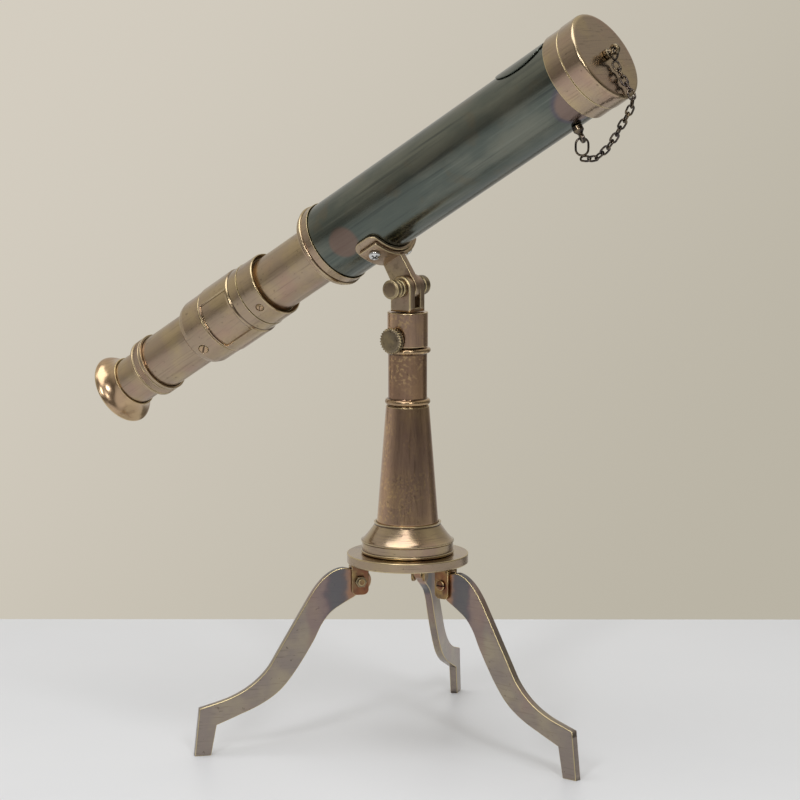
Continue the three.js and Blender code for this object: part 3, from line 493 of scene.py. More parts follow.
class Bench:
    """A material, or the world, being made."""

    def __init__(self, name, shelf="materials"):
        self.made = getattr(bpy.data, shelf).new(name)
        self.made.use_nodes = True
        self.tree = self.made.node_tree
        self.tree.nodes.clear()

    def make(self, kind, settings=(), sockets=()):
        """Any node: its settings are set first, then its sockets get numbers, colours or links."""
        node = self.tree.nodes.new(kind)
        for setting, value in dict(settings).items():
            setattr(node, setting, value)
        for socket, value in dict(sockets).items():
            if isinstance(value, Value):
                self.tree.links.new(value.socket, node.inputs[socket])
            else:
                node.inputs[socket].default_value = value
        return node

    def value(self, kind, settings=(), sockets=(), output=0):
        """The same, as a value that formulas can use."""
        return Value(self, self.make(kind, settings, sockets).outputs[output])

    def attribute(self, name, output):
        """What make_piece wrote on the points of the mesh."""
        return self.value("ShaderNodeAttribute", {"attribute_name": name}, (), output)

    def drawn(self):
        """The point as it was drawn, in millimetres."""
        return self.attribute("drawn", "Vector")

    def rows(self):
        """The point in the row frame, in metres."""
        return self.value("ShaderNodeTexCoord", (), (), "Object")

    def stretched(self, place, scale):
        """A place multiplied by a scale along each axis, so that patterns on it stretch."""
        return self.value("ShaderNodeMapping", {"vector_type": "POINT"}, {"Vector": place, "Scale": scale})

    def clouds(self, place, scale, detail=3.0, roughness=0.55):
        """Soft noise round 0.5, with this many blobs to a unit of the place."""
        return self.value(
            "ShaderNodeTexNoise", (),
            {"Vector": place, "Scale": scale, "Detail": detail, "Roughness": roughness}, "Fac",
        )

    def blend(self, share, first, second):
        """One colour turning into another as the share goes from 0 to 1."""
        return self.value(
            "ShaderNodeMix", {"data_type": "RGBA"}, {"Factor": share, 6: first, 7: second}, 2,
        )

    def near(self, place, middle, radius):
        """1 within a ball, fading to 0 at twice its radius."""
        distance = self.value(
            "ShaderNodeVectorMath", {"operation": "DISTANCE"}, {0: place, 1: middle}, "Value",
        )
        return 1 - distance.between(radius, 2 * radius)

    def finish(self, colour, roughness, metallic=1.0, height=None, bump=0.1, extras=()):
        """A Principled surface with the colour, the roughness and, from a height, a bump."""
        sockets = {"Base Color": colour, "Roughness": roughness, "Metallic": metallic, **dict(extras)}
        if height is not None:
            sockets["Normal"] = self.value(
                "ShaderNodeBump", (), {"Height": height, "Strength": bump, "Distance": 0.0005},
            )
        surface = self.value("ShaderNodeBsdfPrincipled", (), sockets, "BSDF")
        self.make("ShaderNodeOutputMaterial", (), {"Surface": surface})
        return self.made


def tone(red, green, blue):
    """A screen colour from 0 to 255 as the linear colour that shaders use: about (c/255)^2.2."""
    linear = np.power(np.array([red, green, blue]) / 255, 2.2)
    return (*linear.tolist(), 1.0)


# %% [markdown]
# ## Aged brass
# Fresh brass is yellow. Antiquing liquid turns it brown, and polishing then takes some of the brown off
# again: unevenly in soft patches, in fine lines along the polishing stroke, and most of all on the edges.
# One recipe with different colours and strokes gives every brass finish of the telescope.


# %% Aged brass
def aged_brass(name, brown, gold, rose, dark, stroke=(1.0, 1.0, 1.0), rough=0.3, patch=0.045,
               edge_gold=0.8, rosy=0.5, spots=0.5, tint=None):
    """Colour = brown, turned to gold and rose in soft patches, darkened in spots and corners, bright on
    edges, and dark in screw slots as painted shade. stroke scales the pattern along the piece's drawn axes.
    tint may add colour bands."""
    bench = Bench(name)
    drawn = bench.drawn()
    wear_and_shade = bench.attribute("wear_and_shade", "Fac")
    rows = bench.rows()
    patches = bench.clouds(drawn, patch, 3.0)
    other_patches = bench.clouds(rows, 38.0, 4.0)
    strokes = bench.clouds(bench.stretched(drawn, stroke), 1.0, 3.0, 0.6)
    fine = bench.clouds(rows, 900.0, 3.0, 0.6)
    specks = bench.clouds(rows, 420.0, 2.0)
    colour = bench.blend(patches.between(0.42, 0.66) * 0.6, brown, gold)
    colour = bench.blend(other_patches.between(0.48, 0.7) * rosy, colour, rose)
    colour = bench.blend(strokes.between(0.52, 0.78) * 0.35, colour, gold)
    colour = bench.blend(strokes.between(0.3, 0.46) * -0.3 + 0.3, colour, dark)
    colour = bench.blend(specks.between(0.66, 0.74) * spots, colour, dark)
    if tint is not None:
        colour = tint(bench, drawn, rows, colour)
    edge = wear_and_shade.between(0.3, 0.9) * (0.7 + other_patches * 0.3) * edge_gold
    colour = bench.blend(edge, colour, tone(224, 206, 156))
    # Inner corners go dark where the brown stays. Screw slots and crosses go dark too, as painted shade.
    colour = bench.blend((0 - wear_and_shade).between(0.1, 0.7) * 0.85, colour, dark)
    roughness = rough + (fine - 0.5) * 0.04 + (strokes - 0.5) * 0.08 + wear_and_shade.between(0.2, 1.0) * 0.1
    return bench.finish(colour, roughness, height=strokes + fine * 0.2, bump=0.008)


BROWN = tone(166, 147, 126)
GOLD = tone(186, 166, 126)
ROSE = tone(170, 138, 124)
DARK = tone(84, 70, 58)
LENGTHWISE = (0.025, 0.9, 0.9)  # polished along drawn X
UPWARDS = (0.9, 0.9, 0.02)  # polished along drawn Z
ROUND_ABOUT = (0.06, 0.06, 1.6)  # polished on the lathe, round drawn Z
BY_CELL, BY_SADDLE = (155, -15, -18), (-11, -21, -9)  # where the barrel was warmed

tube_brass = aged_brass("brown brass tube", BROWN, GOLD, ROSE, DARK, LENGTHWISE)
turned_brass = aged_brass("turned brown brass", BROWN, GOLD, ROSE, DARK, ROUND_ABOUT, rough=0.2,
                          edge_gold=0.6)
plate_brass = aged_brass("filed brown brass", BROWN, GOLD, ROSE, DARK, (0.3, 0.3, 0.3), rough=0.33)
eyepiece_brass = aged_brass("bright worn brass", tone(186, 158, 128), tone(202, 176, 136),
                            tone(180, 146, 120), DARK, ROUND_ABOUT, rough=0.24, rosy=0.3, spots=0.1)
knob_brass = aged_brass("dull knob brass", tone(124, 112, 94), tone(162, 146, 112), tone(128, 108, 92),
                        tone(56, 48, 40), (0.4, 0.4, 0.4), rough=0.38, patch=0.12, spots=0.8, edge_gold=0.6)
chain_bronze = aged_brass("dark chain bronze", tone(74, 68, 62), tone(140, 124, 98), tone(76, 70, 84),
                          tone(34, 32, 32), (0.6, 0.6, 0.6), rough=0.24, patch=0.3, edge_gold=0.15)


# %% [markdown]
# ## Special finishes
# The column is speckled where the antiquing pulled back into drops. Heat from soldering has tinted the
# legs near their hinges: straw, orange, then blue-grey. The barrel was darkened far more than the rest,
# to a green-grey, with copper tints near its rings where the metal got warm.


# %% Special finishes
def speckled(bench, drawn, rows, colour):
    """Small golden drops that gather in loose clouds."""
    drops = bench.clouds(rows, 620.0, 3.0, 0.6).between(0.52, 0.6)
    where = bench.clouds(rows, 45.0, 3.0).between(0.42, 0.55)
    return bench.blend(drops * where * 0.5, colour, tone(222, 190, 138))


def heat_bands(bench, drawn, rows, colour):
    """Bands by the distance out from the column: orange at the hinge, then blue-grey, then clean."""
    out = bench.value("ShaderNodeSeparateXYZ", (), {"Vector": drawn}, "X")
    wander = (bench.clouds(rows, 120.0, 3.0) - 0.5) * 9
    near = out + wander
    colour = bench.blend((1 - near.between(33, 40)) * 0.6, colour, tone(168, 118, 84))
    colour = bench.blend(near.band(37, 46, 3.5) * 0.7, colour, tone(88, 92, 100))
    return bench.blend(near.band(48, 56, 4) * 0.35, colour, tone(140, 110, 112))


column_brass = aged_brass("speckled column brass", tone(172, 144, 124), tone(200, 168, 130), ROSE,
                          DARK, UPWARDS, rough=0.2, edge_gold=0.6, tint=speckled)
neck_brass = aged_brass("darker neck brass", tone(146, 118, 98), tone(172, 140, 106),
                        tone(146, 112, 96), DARK, UPWARDS, rough=0.22, edge_gold=0.6, tint=speckled)
leg_brass = aged_brass("leg brass with heat bands", tone(148, 137, 129), tone(176, 163, 138),
                       tone(160, 134, 126), DARK, (0.06, 0.9, 0.9), edge_gold=1.0, tint=heat_bands)
bracket_brass = aged_brass("soldered bracket brass", tone(136, 112, 84), tone(176, 148, 96),
                           tone(132, 74, 60), tone(50, 44, 42), (0.3, 0.3, 0.3), rough=0.34,
                           patch=0.15, rosy=0.8, spots=0.9)


def barrel_finish():
    """Dark green-grey, cloudy, with strokes along the tube and copper tints by the saddle and cell."""
    bench = Bench("darkened barrel brass")
    drawn = bench.drawn()
    rows = bench.rows()
    clouds = bench.clouds(bench.stretched(drawn, (0.4, 1, 1)), 0.05, 5.0)
    strokes = bench.clouds(bench.stretched(drawn, (0.012, 0.55, 0.55)), 1.0, 5.0, 0.6)
    fine = bench.clouds(bench.stretched(drawn, (0.15, 2.2, 2.2)), 1.0, 4.0, 0.7)
    spots = bench.clouds(rows, 60.0, 3.0)
    colour = bench.blend(clouds.between(0.38, 0.66), tone(92, 98, 92), tone(114, 116, 106))
    colour = bench.blend(strokes.between(0.5, 0.72) * 0.6, colour, tone(66, 71, 70))
    colour = bench.blend(strokes.between(0.3, 0.44) * -0.35 + 0.35, colour, tone(132, 136, 126))
    colour = bench.blend(spots.between(0.56, 0.72) * 0.35, colour, tone(112, 102, 84))
    ragged = 0.55 + bench.clouds(rows, 45.0, 3.0) * 0.9
    by_cell = bench.near(drawn, BY_CELL, 9) * ragged
    colour = bench.blend(by_cell.between(0.1, 0.6) * 0.5, colour, tone(96, 84, 100))
    colour = bench.blend(by_cell.between(0.5, 1.0) * 0.5, colour, tone(150, 124, 106))
    by_saddle = bench.near(drawn, BY_SADDLE, 6) * ragged
    colour = bench.blend(by_saddle.between(0.2, 0.9) * 0.5, colour, tone(134, 102, 90))
    roughness = 0.2 + (clouds - 0.5) * 0.16 + (fine - 0.5) * 0.1
    return bench.finish(colour, roughness, height=fine, bump=0.03)


def steel_finish():
    """Bright plating, rubbed in fine clouds, with the cross of a screw painted black as painted shade."""
    bench = Bench("bright plated steel")
    rows = bench.rows()
    wear_and_shade = bench.attribute("wear_and_shade", "Fac")
    rub = bench.clouds(rows, 800.0, 3.0)
    # Painted shade: the recessed cross goes nearly black.
    colour = bench.blend((0 - wear_and_shade).between(0.2, 0.9), tone(206, 206, 204), tone(40, 40, 42))
    return bench.finish(colour, 0.16 + rub * 0.12, height=rub, bump=0.04)


def blackened_finish():
    """Matt black lacquer under brown dust."""
    bench = Bench("blackened inside")
    rows = bench.rows()
    dust = bench.clouds(rows, 300.0, 4.0)
    colour = bench.blend(dust.between(0.4, 0.7), tone(38, 34, 30), tone(66, 56, 46))
    return bench.finish(colour, 0.45 + dust * 0.2, metallic=0.6, height=dust, bump=0.05)


def glass_finish():
    """Clear glass with a thin bluish coating and a little haze."""
    bench = Bench("ground lens glass")
    rows = bench.rows()
    haze = bench.clouds(rows, 90.0, 3.0)
    clear = {"IOR": 1.52, "Transmission Weight": 0.85, "Coat Weight": 0.4}
    return bench.finish(bench.blend(haze * 0.3, tone(222, 232, 234), tone(190, 205, 222)),
                        0.02 + haze * 0.05, metallic=0.0, extras=clear)


barrel_brass, plated_steel = barrel_finish(), steel_finish()
blackened, lens_glass = blackened_finish(), glass_finish()
print("finishes:", len(bpy.data.materials))

# %% [markdown]
# ## Base and column
# From below: a flat disc, a flange that sweeps up in a hollow curve, a long cone, and a neck between two
# beads. They are turned one by one and drawn together by a long bolt, so each is its own profile.

# %% Base and column
DISC_BOTTOM, DISC_TOP, DISC_RADIUS = 103.6, 109.0, 34.0
DRUM_RADIUS, DRUM_TOP = 26.0, 116.5
FLARE_RADIUS, FLARE_TOP = 18.9, 126.8
CONE_TOP, CONE_FOOT_RADIUS, CONE_HEAD_RADIUS = 192.2, 17.2, 12.1
NECK_RADIUS, NECK_TOP, BEAD_RADIUS = 10.85, 225.2, 12.9
TIE_BORE, TIE_BORE_TOP = 2.6, 215.0
BOLT_RADIUS, BOLT_TOP, BOLT_HEAD_RADIUS, BOLT_HEAD_HEIGHT = 2.3, 213.0, 5.2, 3.5
SEAT_DEPTH = 2.2  # how far the cone stands in the flange
GAP = 0.3


def bead(middle, half, outer, count=7):
    """A half-round bead: radius = outer - half (1 - cos a) where height = middle + half sin a."""
    turn = np.linspace(-np.pi / 2, np.pi / 2, count)
    return [(middle + half * np.sin(a), outer - half * (1 - np.cos(a))) for a in turn]


disc = turned([
    (DISC_BOTTOM, TIE_BORE), (DISC_BOTTOM, DISC_RADIUS), (DISC_TOP, DISC_RADIUS), (DISC_TOP, TIE_BORE),
], 160, 0.5)
make_piece("base_disc_turned", disc, on_column, turned_brass, "base_disc")

FLARE_LIP, HOLLOWNESS = 1.2, 0.85
flare_height, flare_width = FLARE_TOP - FLARE_LIP - DRUM_TOP, DRUM_RADIUS + 0.2 - FLARE_RADIUS
hollow_curve = [
    (DRUM_TOP + flare_height * q, DRUM_RADIUS - 0.3 - flare_width * q**HOLLOWNESS)
    for q in np.linspace(0, 1, 10)
]
flange = turned([
    (DISC_TOP + GAP, TIE_BORE), (DISC_TOP + GAP, DRUM_RADIUS - 0.5), (DISC_TOP + 1.0, DRUM_RADIUS),
    (DISC_TOP + 1.7, DRUM_RADIUS), (DISC_TOP + 2.0, DRUM_RADIUS - 0.5),
    (DRUM_TOP - 1.0, DRUM_RADIUS - 0.45), (DRUM_TOP - 0.7, DRUM_RADIUS), (DRUM_TOP, DRUM_RADIUS),
    *hollow_curve,
    (FLARE_TOP, FLARE_RADIUS), (FLARE_TOP, CONE_FOOT_RADIUS + GAP),
    (FLARE_TOP - SEAT_DEPTH, CONE_FOOT_RADIUS + GAP), (FLARE_TOP - SEAT_DEPTH, TIE_BORE),
], 160, 0.3)
make_piece("base_flange_turned", flange, on_column, turned_brass, "base_flange")

cone_foot = FLARE_TOP - SEAT_DEPTH + GAP
cone = turned([
    (cone_foot, CONE_FOOT_RADIUS - 4), (cone_foot, CONE_FOOT_RADIUS), (FLARE_TOP + 0.4, CONE_FOOT_RADIUS),
    (CONE_TOP, CONE_HEAD_RADIUS), (CONE_TOP, TIE_BORE), (CONE_TOP - 8, TIE_BORE),
    (CONE_TOP - 8, CONE_HEAD_RADIUS - 4),
], 160, 0.3)
make_piece("column_cone_turned", cone, on_column, column_brass, "column_cone")

SPIGOT_RADIUS, SPIGOT_TOP = 7.6, 241.6
neck = turned([
    (CONE_TOP + GAP, TIE_BORE), (CONE_TOP + GAP, BEAD_RADIUS - 1.2),
    *bead(CONE_TOP + 2.5, 1.7, BEAD_RADIUS - 0.2),
    (CONE_TOP + 4.6, NECK_RADIUS), (NECK_TOP - 3.8, NECK_RADIUS), *bead(NECK_TOP - 1.8, 1.5, BEAD_RADIUS),
    (NECK_TOP, SPIGOT_RADIUS), (SPIGOT_TOP, SPIGOT_RADIUS), (SPIGOT_TOP, 0), (TIE_BORE_TOP, 0),
    (TIE_BORE_TOP, TIE_BORE),
], 160, 0.3)
make_piece("column_neck_turned", neck, on_column, neck_brass, "column_neck")

head_low, head_high = DISC_BOTTOM - BOLT_HEAD_HEIGHT, DISC_BOTTOM - GAP
bolt = turned([
    (head_low, 0), (head_low, BOLT_HEAD_RADIUS), (head_high, BOLT_HEAD_RADIUS),
    (head_high, BOLT_RADIUS), (BOLT_TOP, BOLT_RADIUS), (BOLT_TOP, 0),
], 48, 0.5)
make_piece("tie_bolt_turned", bolt, on_column, knob_brass, "tie_bolt")

# %% [markdown]
# ## Head
# A sleeve turns on the neck's spigot. It carries a fork, milled from square bar with rounded tops, in which
# the telescope tilts. A knurled screw locks the turning, and a turned bolt with a round nut the tilting.

# %% Sleeve and fork
SLEEVE_RADIUS, SLEEVE_TOP = 11.3, 244.7
FORK_HALF_WIDTH, FORK_HALF_DEPTH, SLOT_HALF = 6.8, 7.4, 2.6
STEM_RADIUS, STEM_BORE, SLEEVE_CEILING, STEM_TOP, FORK_FLOOR = 3.9, 4.2, 242.1, 245.5, 247.2
sleeve = turned([
    (NECK_TOP + GAP, SPIGOT_RADIUS + GAP), (NECK_TOP + GAP, SLEEVE_RADIUS), (SLEEVE_TOP, SLEEVE_RADIUS),
    (SLEEVE_TOP, STEM_BORE), (SLEEVE_CEILING, STEM_BORE), (SLEEVE_CEILING, SPIGOT_RADIUS + GAP),
], 144, 0.45)
make_piece("head_sleeve_turned", sleeve, on_column, column_brass, "head_sleeve")


def cheek_outline():
    """Straight sides and a half circle over the pivot."""
    turn = np.linspace(0, np.pi, 25)
    arc = np.column_stack([FORK_HALF_WIDTH * np.cos(turn), PIVOT_HEIGHT + FORK_HALF_WIDTH * np.sin(turn)])
    foot = np.array([[-FORK_HALF_WIDTH, SLEEVE_TOP + GAP], [FORK_HALF_WIDTH, SLEEVE_TOP + GAP]])
    return filled_in(np.concatenate([arc, foot]), 3.0)


near_cheek = moved(plate(cheek_outline(), -FORK_HALF_DEPTH, -SLOT_HALF, (1.3, 0.3)), crosswise)
far_cheek = moved(plate(cheek_outline(), SLOT_HALF, FORK_HALF_DEPTH, (0.3, 1.3)), crosswise)
floor_outline = rounded_rectangle(FORK_HALF_WIDTH - 0.02, SLOT_HALF + 0.4, 0.2)
fork_floor = plate(floor_outline, SLEEVE_TOP + GAP, FORK_FLOOR)
stem_foot = SLEEVE_CEILING + GAP
stem = turned([(stem_foot, 0), (stem_foot, STEM_RADIUS), (STEM_TOP, STEM_RADIUS), (STEM_TOP, 0)], 48)
fork = together(near_cheek, far_cheek, fork_floor, stem)
make_piece("fork_milled", fork, on_column, plate_brass, "fork")

# %% [markdown]
# ### Knurled screw
# A coarse straight knurl is a row of rounded teeth. Its radius follows a cosine round the head, held to
# the part of the profile that the knurling wheel touched.


# %% Knobs
def knurled(teeth, depth, low, high, least):
    """The radius less depth (1 - cos(teeth a)) / 2 between two heights, wherever it is above the least."""
    def reshape(height, radius, angle):
        held = np.clip((height - low) / 0.3, 0, 1) * np.clip((high - height) / 0.3, 0, 1) * (radius > least)
        return radius - depth * held * (0.5 - 0.5 * np.cos(teeth * angle))
    return reshape


THUMB_HEIGHT, THUMB_RADIUS, THUMB_BACK, THUMB_FACE = 229.9, 7.3, 13.3, 17.4
thumb = turned([
    (SPIGOT_RADIUS + 0.4, 0), (SPIGOT_RADIUS + 0.4, 1.9), (SLEEVE_RADIUS + 0.5, 1.9),
    (SLEEVE_RADIUS + 0.5, 4.2), (THUMB_BACK, 4.2), (THUMB_BACK, THUMB_RADIUS - 0.5),
    (THUMB_BACK + 0.4, THUMB_RADIUS), (THUMB_FACE - 0.8, THUMB_RADIUS),
    (THUMB_FACE - 0.3, THUMB_RADIUS - 0.9), (THUMB_FACE, THUMB_RADIUS - 1.9), (THUMB_FACE, 0),
], 216, 0.25, knurled(27, 0.75, 13.2, THUMB_FACE - 0.1, THUMB_RADIUS - 1.6))
make_piece("thumb_screw_knurled", on_side(thumb, THUMB_HEIGHT), on_column, knob_brass, "thumb_screw")

CHEEK = FORK_HALF_DEPTH + GAP
pivot_head = turned([
    (-15.2, 0), (-15.2, 2.0), (CHEEK, 2.0), (CHEEK, 5.1), (CHEEK + 2, 5.1), (CHEEK + 2.4, 3.8),
    (CHEEK + 3.3, 3.8), *bead(CHEEK + 4.3, 0.8, 5.0, 5), (CHEEK + 5.3, 3.6), (CHEEK + 5.9, 3.6),
    (CHEEK + 6.1, 5.3), (CHEEK + 8.8, 5.4), (CHEEK + 9.5, 4.4), (CHEEK + 9.75, 2.4), (CHEEK + 9.85, 0),
], 96, 0.4)
make_piece("pivot_bolt_turned", on_side(pivot_head, PIVOT_HEIGHT), on_column, knob_brass, "pivot_bolt")

nut = turned([
    (-CHEEK, 2.3), (-CHEEK, 4.6), (-CHEEK - 2.2, 4.6), (-CHEEK - 2.8, 5.6), (-CHEEK - 6.6, 5.6),
    (-CHEEK - 7.6, 4.8), (-CHEEK - 8, 3.4), (-CHEEK - 8, 2.3),
], 96, 0.4)
make_piece("pivot_nut_turned", on_side(nut, PIVOT_HEIGHT), on_column, knob_brass, "pivot_nut")

# %% [markdown]
# ## Cradle
# A curved pad lies under the barrel and a T bracket under the pad: two wings bent to the same curve, and
# a flat arm that drops into the fork. Two cross-head screws go through both. The pad and the wings are
# drawn flat and wrapped round the tube, so the flat width is the angle times the radius.

# %% Cradle
BARREL_RADIUS, BARREL_BORE = 23.3, 21.9
SADDLE_INNER, SADDLE_OUTER, SADDLE_HALF_LENGTH = 23.6, 25.45, 8.3
WING_INNER, WING_OUTER, CRADLE_HALF_LENGTH = 25.75, 27.7, 6.7
pad_outline = rounded_rectangle(SADDLE_HALF_LENGTH, np.radians(56) * SADDLE_INNER, 5)
pad = plate(filled_in(pad_outline, 1.5), 0, SADDLE_OUTER - SADDLE_INNER, (0.2, 0.5), rings=8)
make_piece("saddle_pad_bent", moved(pad, wrapped, 0, 0, SADDLE_INNER), on_tube, plate_brass, "saddle_pad")

wing_outline = rounded_rectangle(CRADLE_HALF_LENGTH, np.radians(46) * WING_INNER, 0.8)
wings = plate(filled_in(wing_outline, 1.2), 0, WING_OUTER - WING_INNER, (0.25, 0.45), rings=8)
turn = np.linspace(np.pi, 2 * np.pi, 25)
ARM_END_RADIUS, ARM_HALF, ARM_TOP = 7.3, 2.25, -WING_INNER - 0.6
arm_end = ARM_END_RADIUS * np.column_stack([np.cos(turn), np.sin(turn)]) - np.array([0, AXIS_ABOVE_PIVOT])
arm_root = np.array([[CRADLE_HALF_LENGTH, ARM_TOP], [-CRADLE_HALF_LENGTH, ARM_TOP]])
arm = plate(filled_in(np.concatenate([arm_end, arm_root]), 2.0), -ARM_HALF, ARM_HALF, (0.35, 0.35))
bracket = together(moved(wings, wrapped, 0, 0, WING_INNER), moved(arm, crosswise))
make_piece("cradle_bracket_bent", bracket, on_tube, plate_brass, "cradle_bracket")


def cradle_screw(name, angle, node):
    """A domed cross-head screw standing out of the wing at an angle from below."""
    head = moved(screw_head(3.3, 1.0, 1.2, cross(3.9, 0.8, 0.9)), raised, WING_OUTER + GAP)
    tip, shank_top = BARREL_BORE + 0.3, WING_OUTER + GAP + 0.2
    shank = turned([(tip, 0), (tip, 1.4), (shank_top, 1.4), (shank_top, 0)], 32, 0.1)
    make_piece(name, moved(together(head, shank), radially, 0, angle), on_tube, plated_steel, node)


cradle_screw("cradle_screw_near_cross_head", 34, "cradle_screw_near")
cradle_screw("cradle_screw_far_cross_head", -34, "cradle_screw_far")

# %% [markdown]
# ## Barrel and objective
# The barrel is a plain tube. Its rear ring carries the draw tube, and the cell at its front carries the
# lens and the slip-on cap. The cap's bright rounded edge and the fine gap behind its skirt are what make it
# read as a separate piece, so both are in the profile.

# %% Barrel
BARREL_REAR, BARREL_FRONT = -30.5, 158.0
FOCUS_TUBE_RADIUS, EYE_TUBE_RADIUS, OCULAR_RADIUS = 16.6, 16.2, 14.3


def tube_piece(name, profile, finish, node, sides=160, corner=0.3, reshape=None, angles=None):
    """A profile of (station, radius) turned along the tube."""
    skin = moved(turned(profile, sides, corner, reshape, angles), along)
    return make_piece(name, skin, on_tube, finish, node)


def plain_tube(rear, front, outer, inner):
    """A tube's profile, with a few points along it so that its finish is drawn evenly."""
    stations = np.linspace(rear, front, 5)
    return [(rear, inner), *[(s, outer) for s in stations], (front, inner)]


barrel_profile = plain_tube(BARREL_REAR, BARREL_FRONT, BARREL_RADIUS, BARREL_BORE)
tube_piece("main_barrel_tube", barrel_profile, barrel_brass, "main_barrel", 192)
guide, guide_front = FOCUS_TUBE_RADIUS + 0.4, BARREL_REAR + 12.5
flange_rear, flange_lip = BARREL_REAR - 6.7, BARREL_REAR + 1.9
tube_piece("barrel_rear_ring_turned", [
    (flange_rear, guide), (flange_rear, 23.6), (flange_rear + 0.6, 24.0), (flange_rear + 1.5, 24.1),
    *bead(flange_rear + 2.9, 1.0, 25.0, 7), (flange_rear + 4.3, 24.1), (flange_lip, 24.1),
    (flange_lip, BARREL_RADIUS + GAP), (BARREL_REAR - GAP, BARREL_RADIUS + GAP),
    (BARREL_REAR - GAP, BARREL_BORE - GAP), (guide_front, BARREL_BORE - GAP), (guide_front, guide),
], turned_brass, "barrel_rear_ring", 192)

PLAQUE_HALF_LENGTH, PLAQUE_HALF_WIDTH, PLAQUE_STATION, PLAQUE_ANGLE = 17.5, 10.2, 133, 158
turn = np.linspace(0, 2 * np.pi, 72, endpoint=False)
plaque_outline = np.column_stack([PLAQUE_HALF_LENGTH * np.cos(turn), PLAQUE_HALF_WIDTH * np.sin(turn)])
plaque_points, plaque_faces, plaque_rim_shade = plate(plaque_outline, 0, 0.6, (0.05, 0.25), rings=8)
PAINTED_RIM_SHADOW = -1.4  # painted shadow round the plaque's rim, as a strongly negative value there; the barrel finish does not read it, so nothing shows
plaque = moved((plaque_points, plaque_faces, PAINTED_RIM_SHADOW * plaque_rim_shade), wrapped, PLAQUE_STATION,
               PLAQUE_ANGLE, BARREL_RADIUS + GAP)
make_piece("oval_plaque_bent", plaque, on_tube, barrel_brass, "oval_plaque")

# %% Objective cell, lens and cap
CELL_REAR, CELL_FRONT, CELL_RADIUS, CAP_RADIUS, CAP_FRONT = 153.2, 163.6, 25.2, 25.5, 175.5
SPIGOT_RIM, CAP_SPIGOT, LENS_SEAT, LENS_BORE, CLEAR_BORE = 171.8, 23.8, 160.5, 21, 19.4
tube_piece("objective_cell_turned", [
    (CELL_REAR, BARREL_RADIUS + GAP), (CELL_REAR, CELL_RADIUS), (CELL_FRONT, CELL_RADIUS - 0.1),
    (CELL_FRONT, CAP_SPIGOT), (SPIGOT_RIM, CAP_SPIGOT), (SPIGOT_RIM, LENS_BORE), (LENS_SEAT, LENS_BORE),
    (LENS_SEAT, CLEAR_BORE), (BARREL_FRONT + GAP, CLEAR_BORE), (BARREL_FRONT + GAP, BARREL_RADIUS + GAP),
], turned_brass, "objective_cell", 192, 0.4)


def lens_profile(radius, rear, edge, rise, count=10):
    """Both faces are shallow bowls: station = face +- rise (1 - q^2) at q times the radius."""
    q = np.linspace(0, 1, count)
    rear_face = [(rear - rise * (1 - s * s), radius * s) for s in q]
    return rear_face + [(rear + edge + rise * (1 - s * s), radius * s) for s in q[::-1]]


lens_radius = LENS_BORE - GAP
objective = lens_profile(lens_radius, LENS_SEAT + GAP, 2.6, 1.6)
tube_piece("objective_lens_ground", objective, lens_glass, "objective_lens", 96, 0.1)
tube_piece("eye_lens_ground", lens_profile(12.7, -205.2, 1.6, 0.9), lens_glass, "eye_lens", 96, 0.1)
retaining_ring = plain_tube(LENS_SEAT + 3.4, LENS_SEAT + 6.6, lens_radius, 18.6)
tube_piece("lens_retaining_ring_turned", retaining_ring, blackened, "lens_retaining_ring")
tube_piece("lens_cap_turned", [
    (CELL_FRONT + GAP, 24.1), (CELL_FRONT + GAP, CAP_RADIUS), (CAP_FRONT - 1.6, CAP_RADIUS),
    (CAP_FRONT - 0.8, CAP_RADIUS - 0.3), (CAP_FRONT - 0.2, CAP_RADIUS - 1), (CAP_FRONT, CAP_RADIUS - 1.9),
    (CAP_FRONT, 17), (CAP_FRONT, 9), (CAP_FRONT, 1.2), (CAP_FRONT - 1.9, 1.2), (CAP_FRONT - 1.9, 24.1),
], turned_brass, "lens_cap", 192, 0.4)

# %% [markdown]
# ## Cap chain
# The chain hangs from a ring on the cap's post, lies over the cap's face and rim, and sags to a shackle on
# the barrel. Its line is a smooth curve through a few points under gravity. Each link is an oval of wire,
# turned by half a right angle one way and then the other. When the cap slides off, the chain has to follow
# at one end only; here it rides with neither the barrel nor the cap, and the places of its two ends are only
# worked out.

# %% Posts and rings
CHAIN_STATION, CHAIN_ANGLE, CHAIN_EYE, CAP_EYE = 142, 5, 30.6, 181.6
POST_TURN = 50
gravity = np.array([-np.sin(ELEVATION), 0, -np.cos(ELEVATION)])


def eye_post(shank_low, shank_radius, shoulder, stub_radius, stub_top, eye_middle):
    """A turned stub, a short neck and a rounded eye whose hole lies along Y."""
    stub = turned([
        (shank_low, 0), (shank_low, shank_radius), (shoulder, shank_radius), (shoulder, stub_radius),
        (shoulder + 0.7 * (stub_top - shoulder), stub_radius), (stub_top, 0.62 * stub_radius),
        (eye_middle - 1.8, 1.25), (eye_middle - 1.8, 0),
    ], 48, 0.35)
    eye = turned([(-1.3, 1.5), (-1.3, 2.1), (-0.8, 2.9), (0.8, 2.9), (1.3, 2.1), (1.3, 1.5)], 48, 0.35)
    return together(stub, moved(moved(eye, sideways), raised, eye_middle))


def spun(points, angle):
    """Turned about +Z by an angle in degrees, as a screw or a post stops anywhere."""
    x, y, z = points.T
    cosine, sine = np.cos(np.radians(angle)), np.sin(np.radians(angle))
    return np.stack([x * cosine - y * sine, x * sine + y * cosine, z], axis=1)


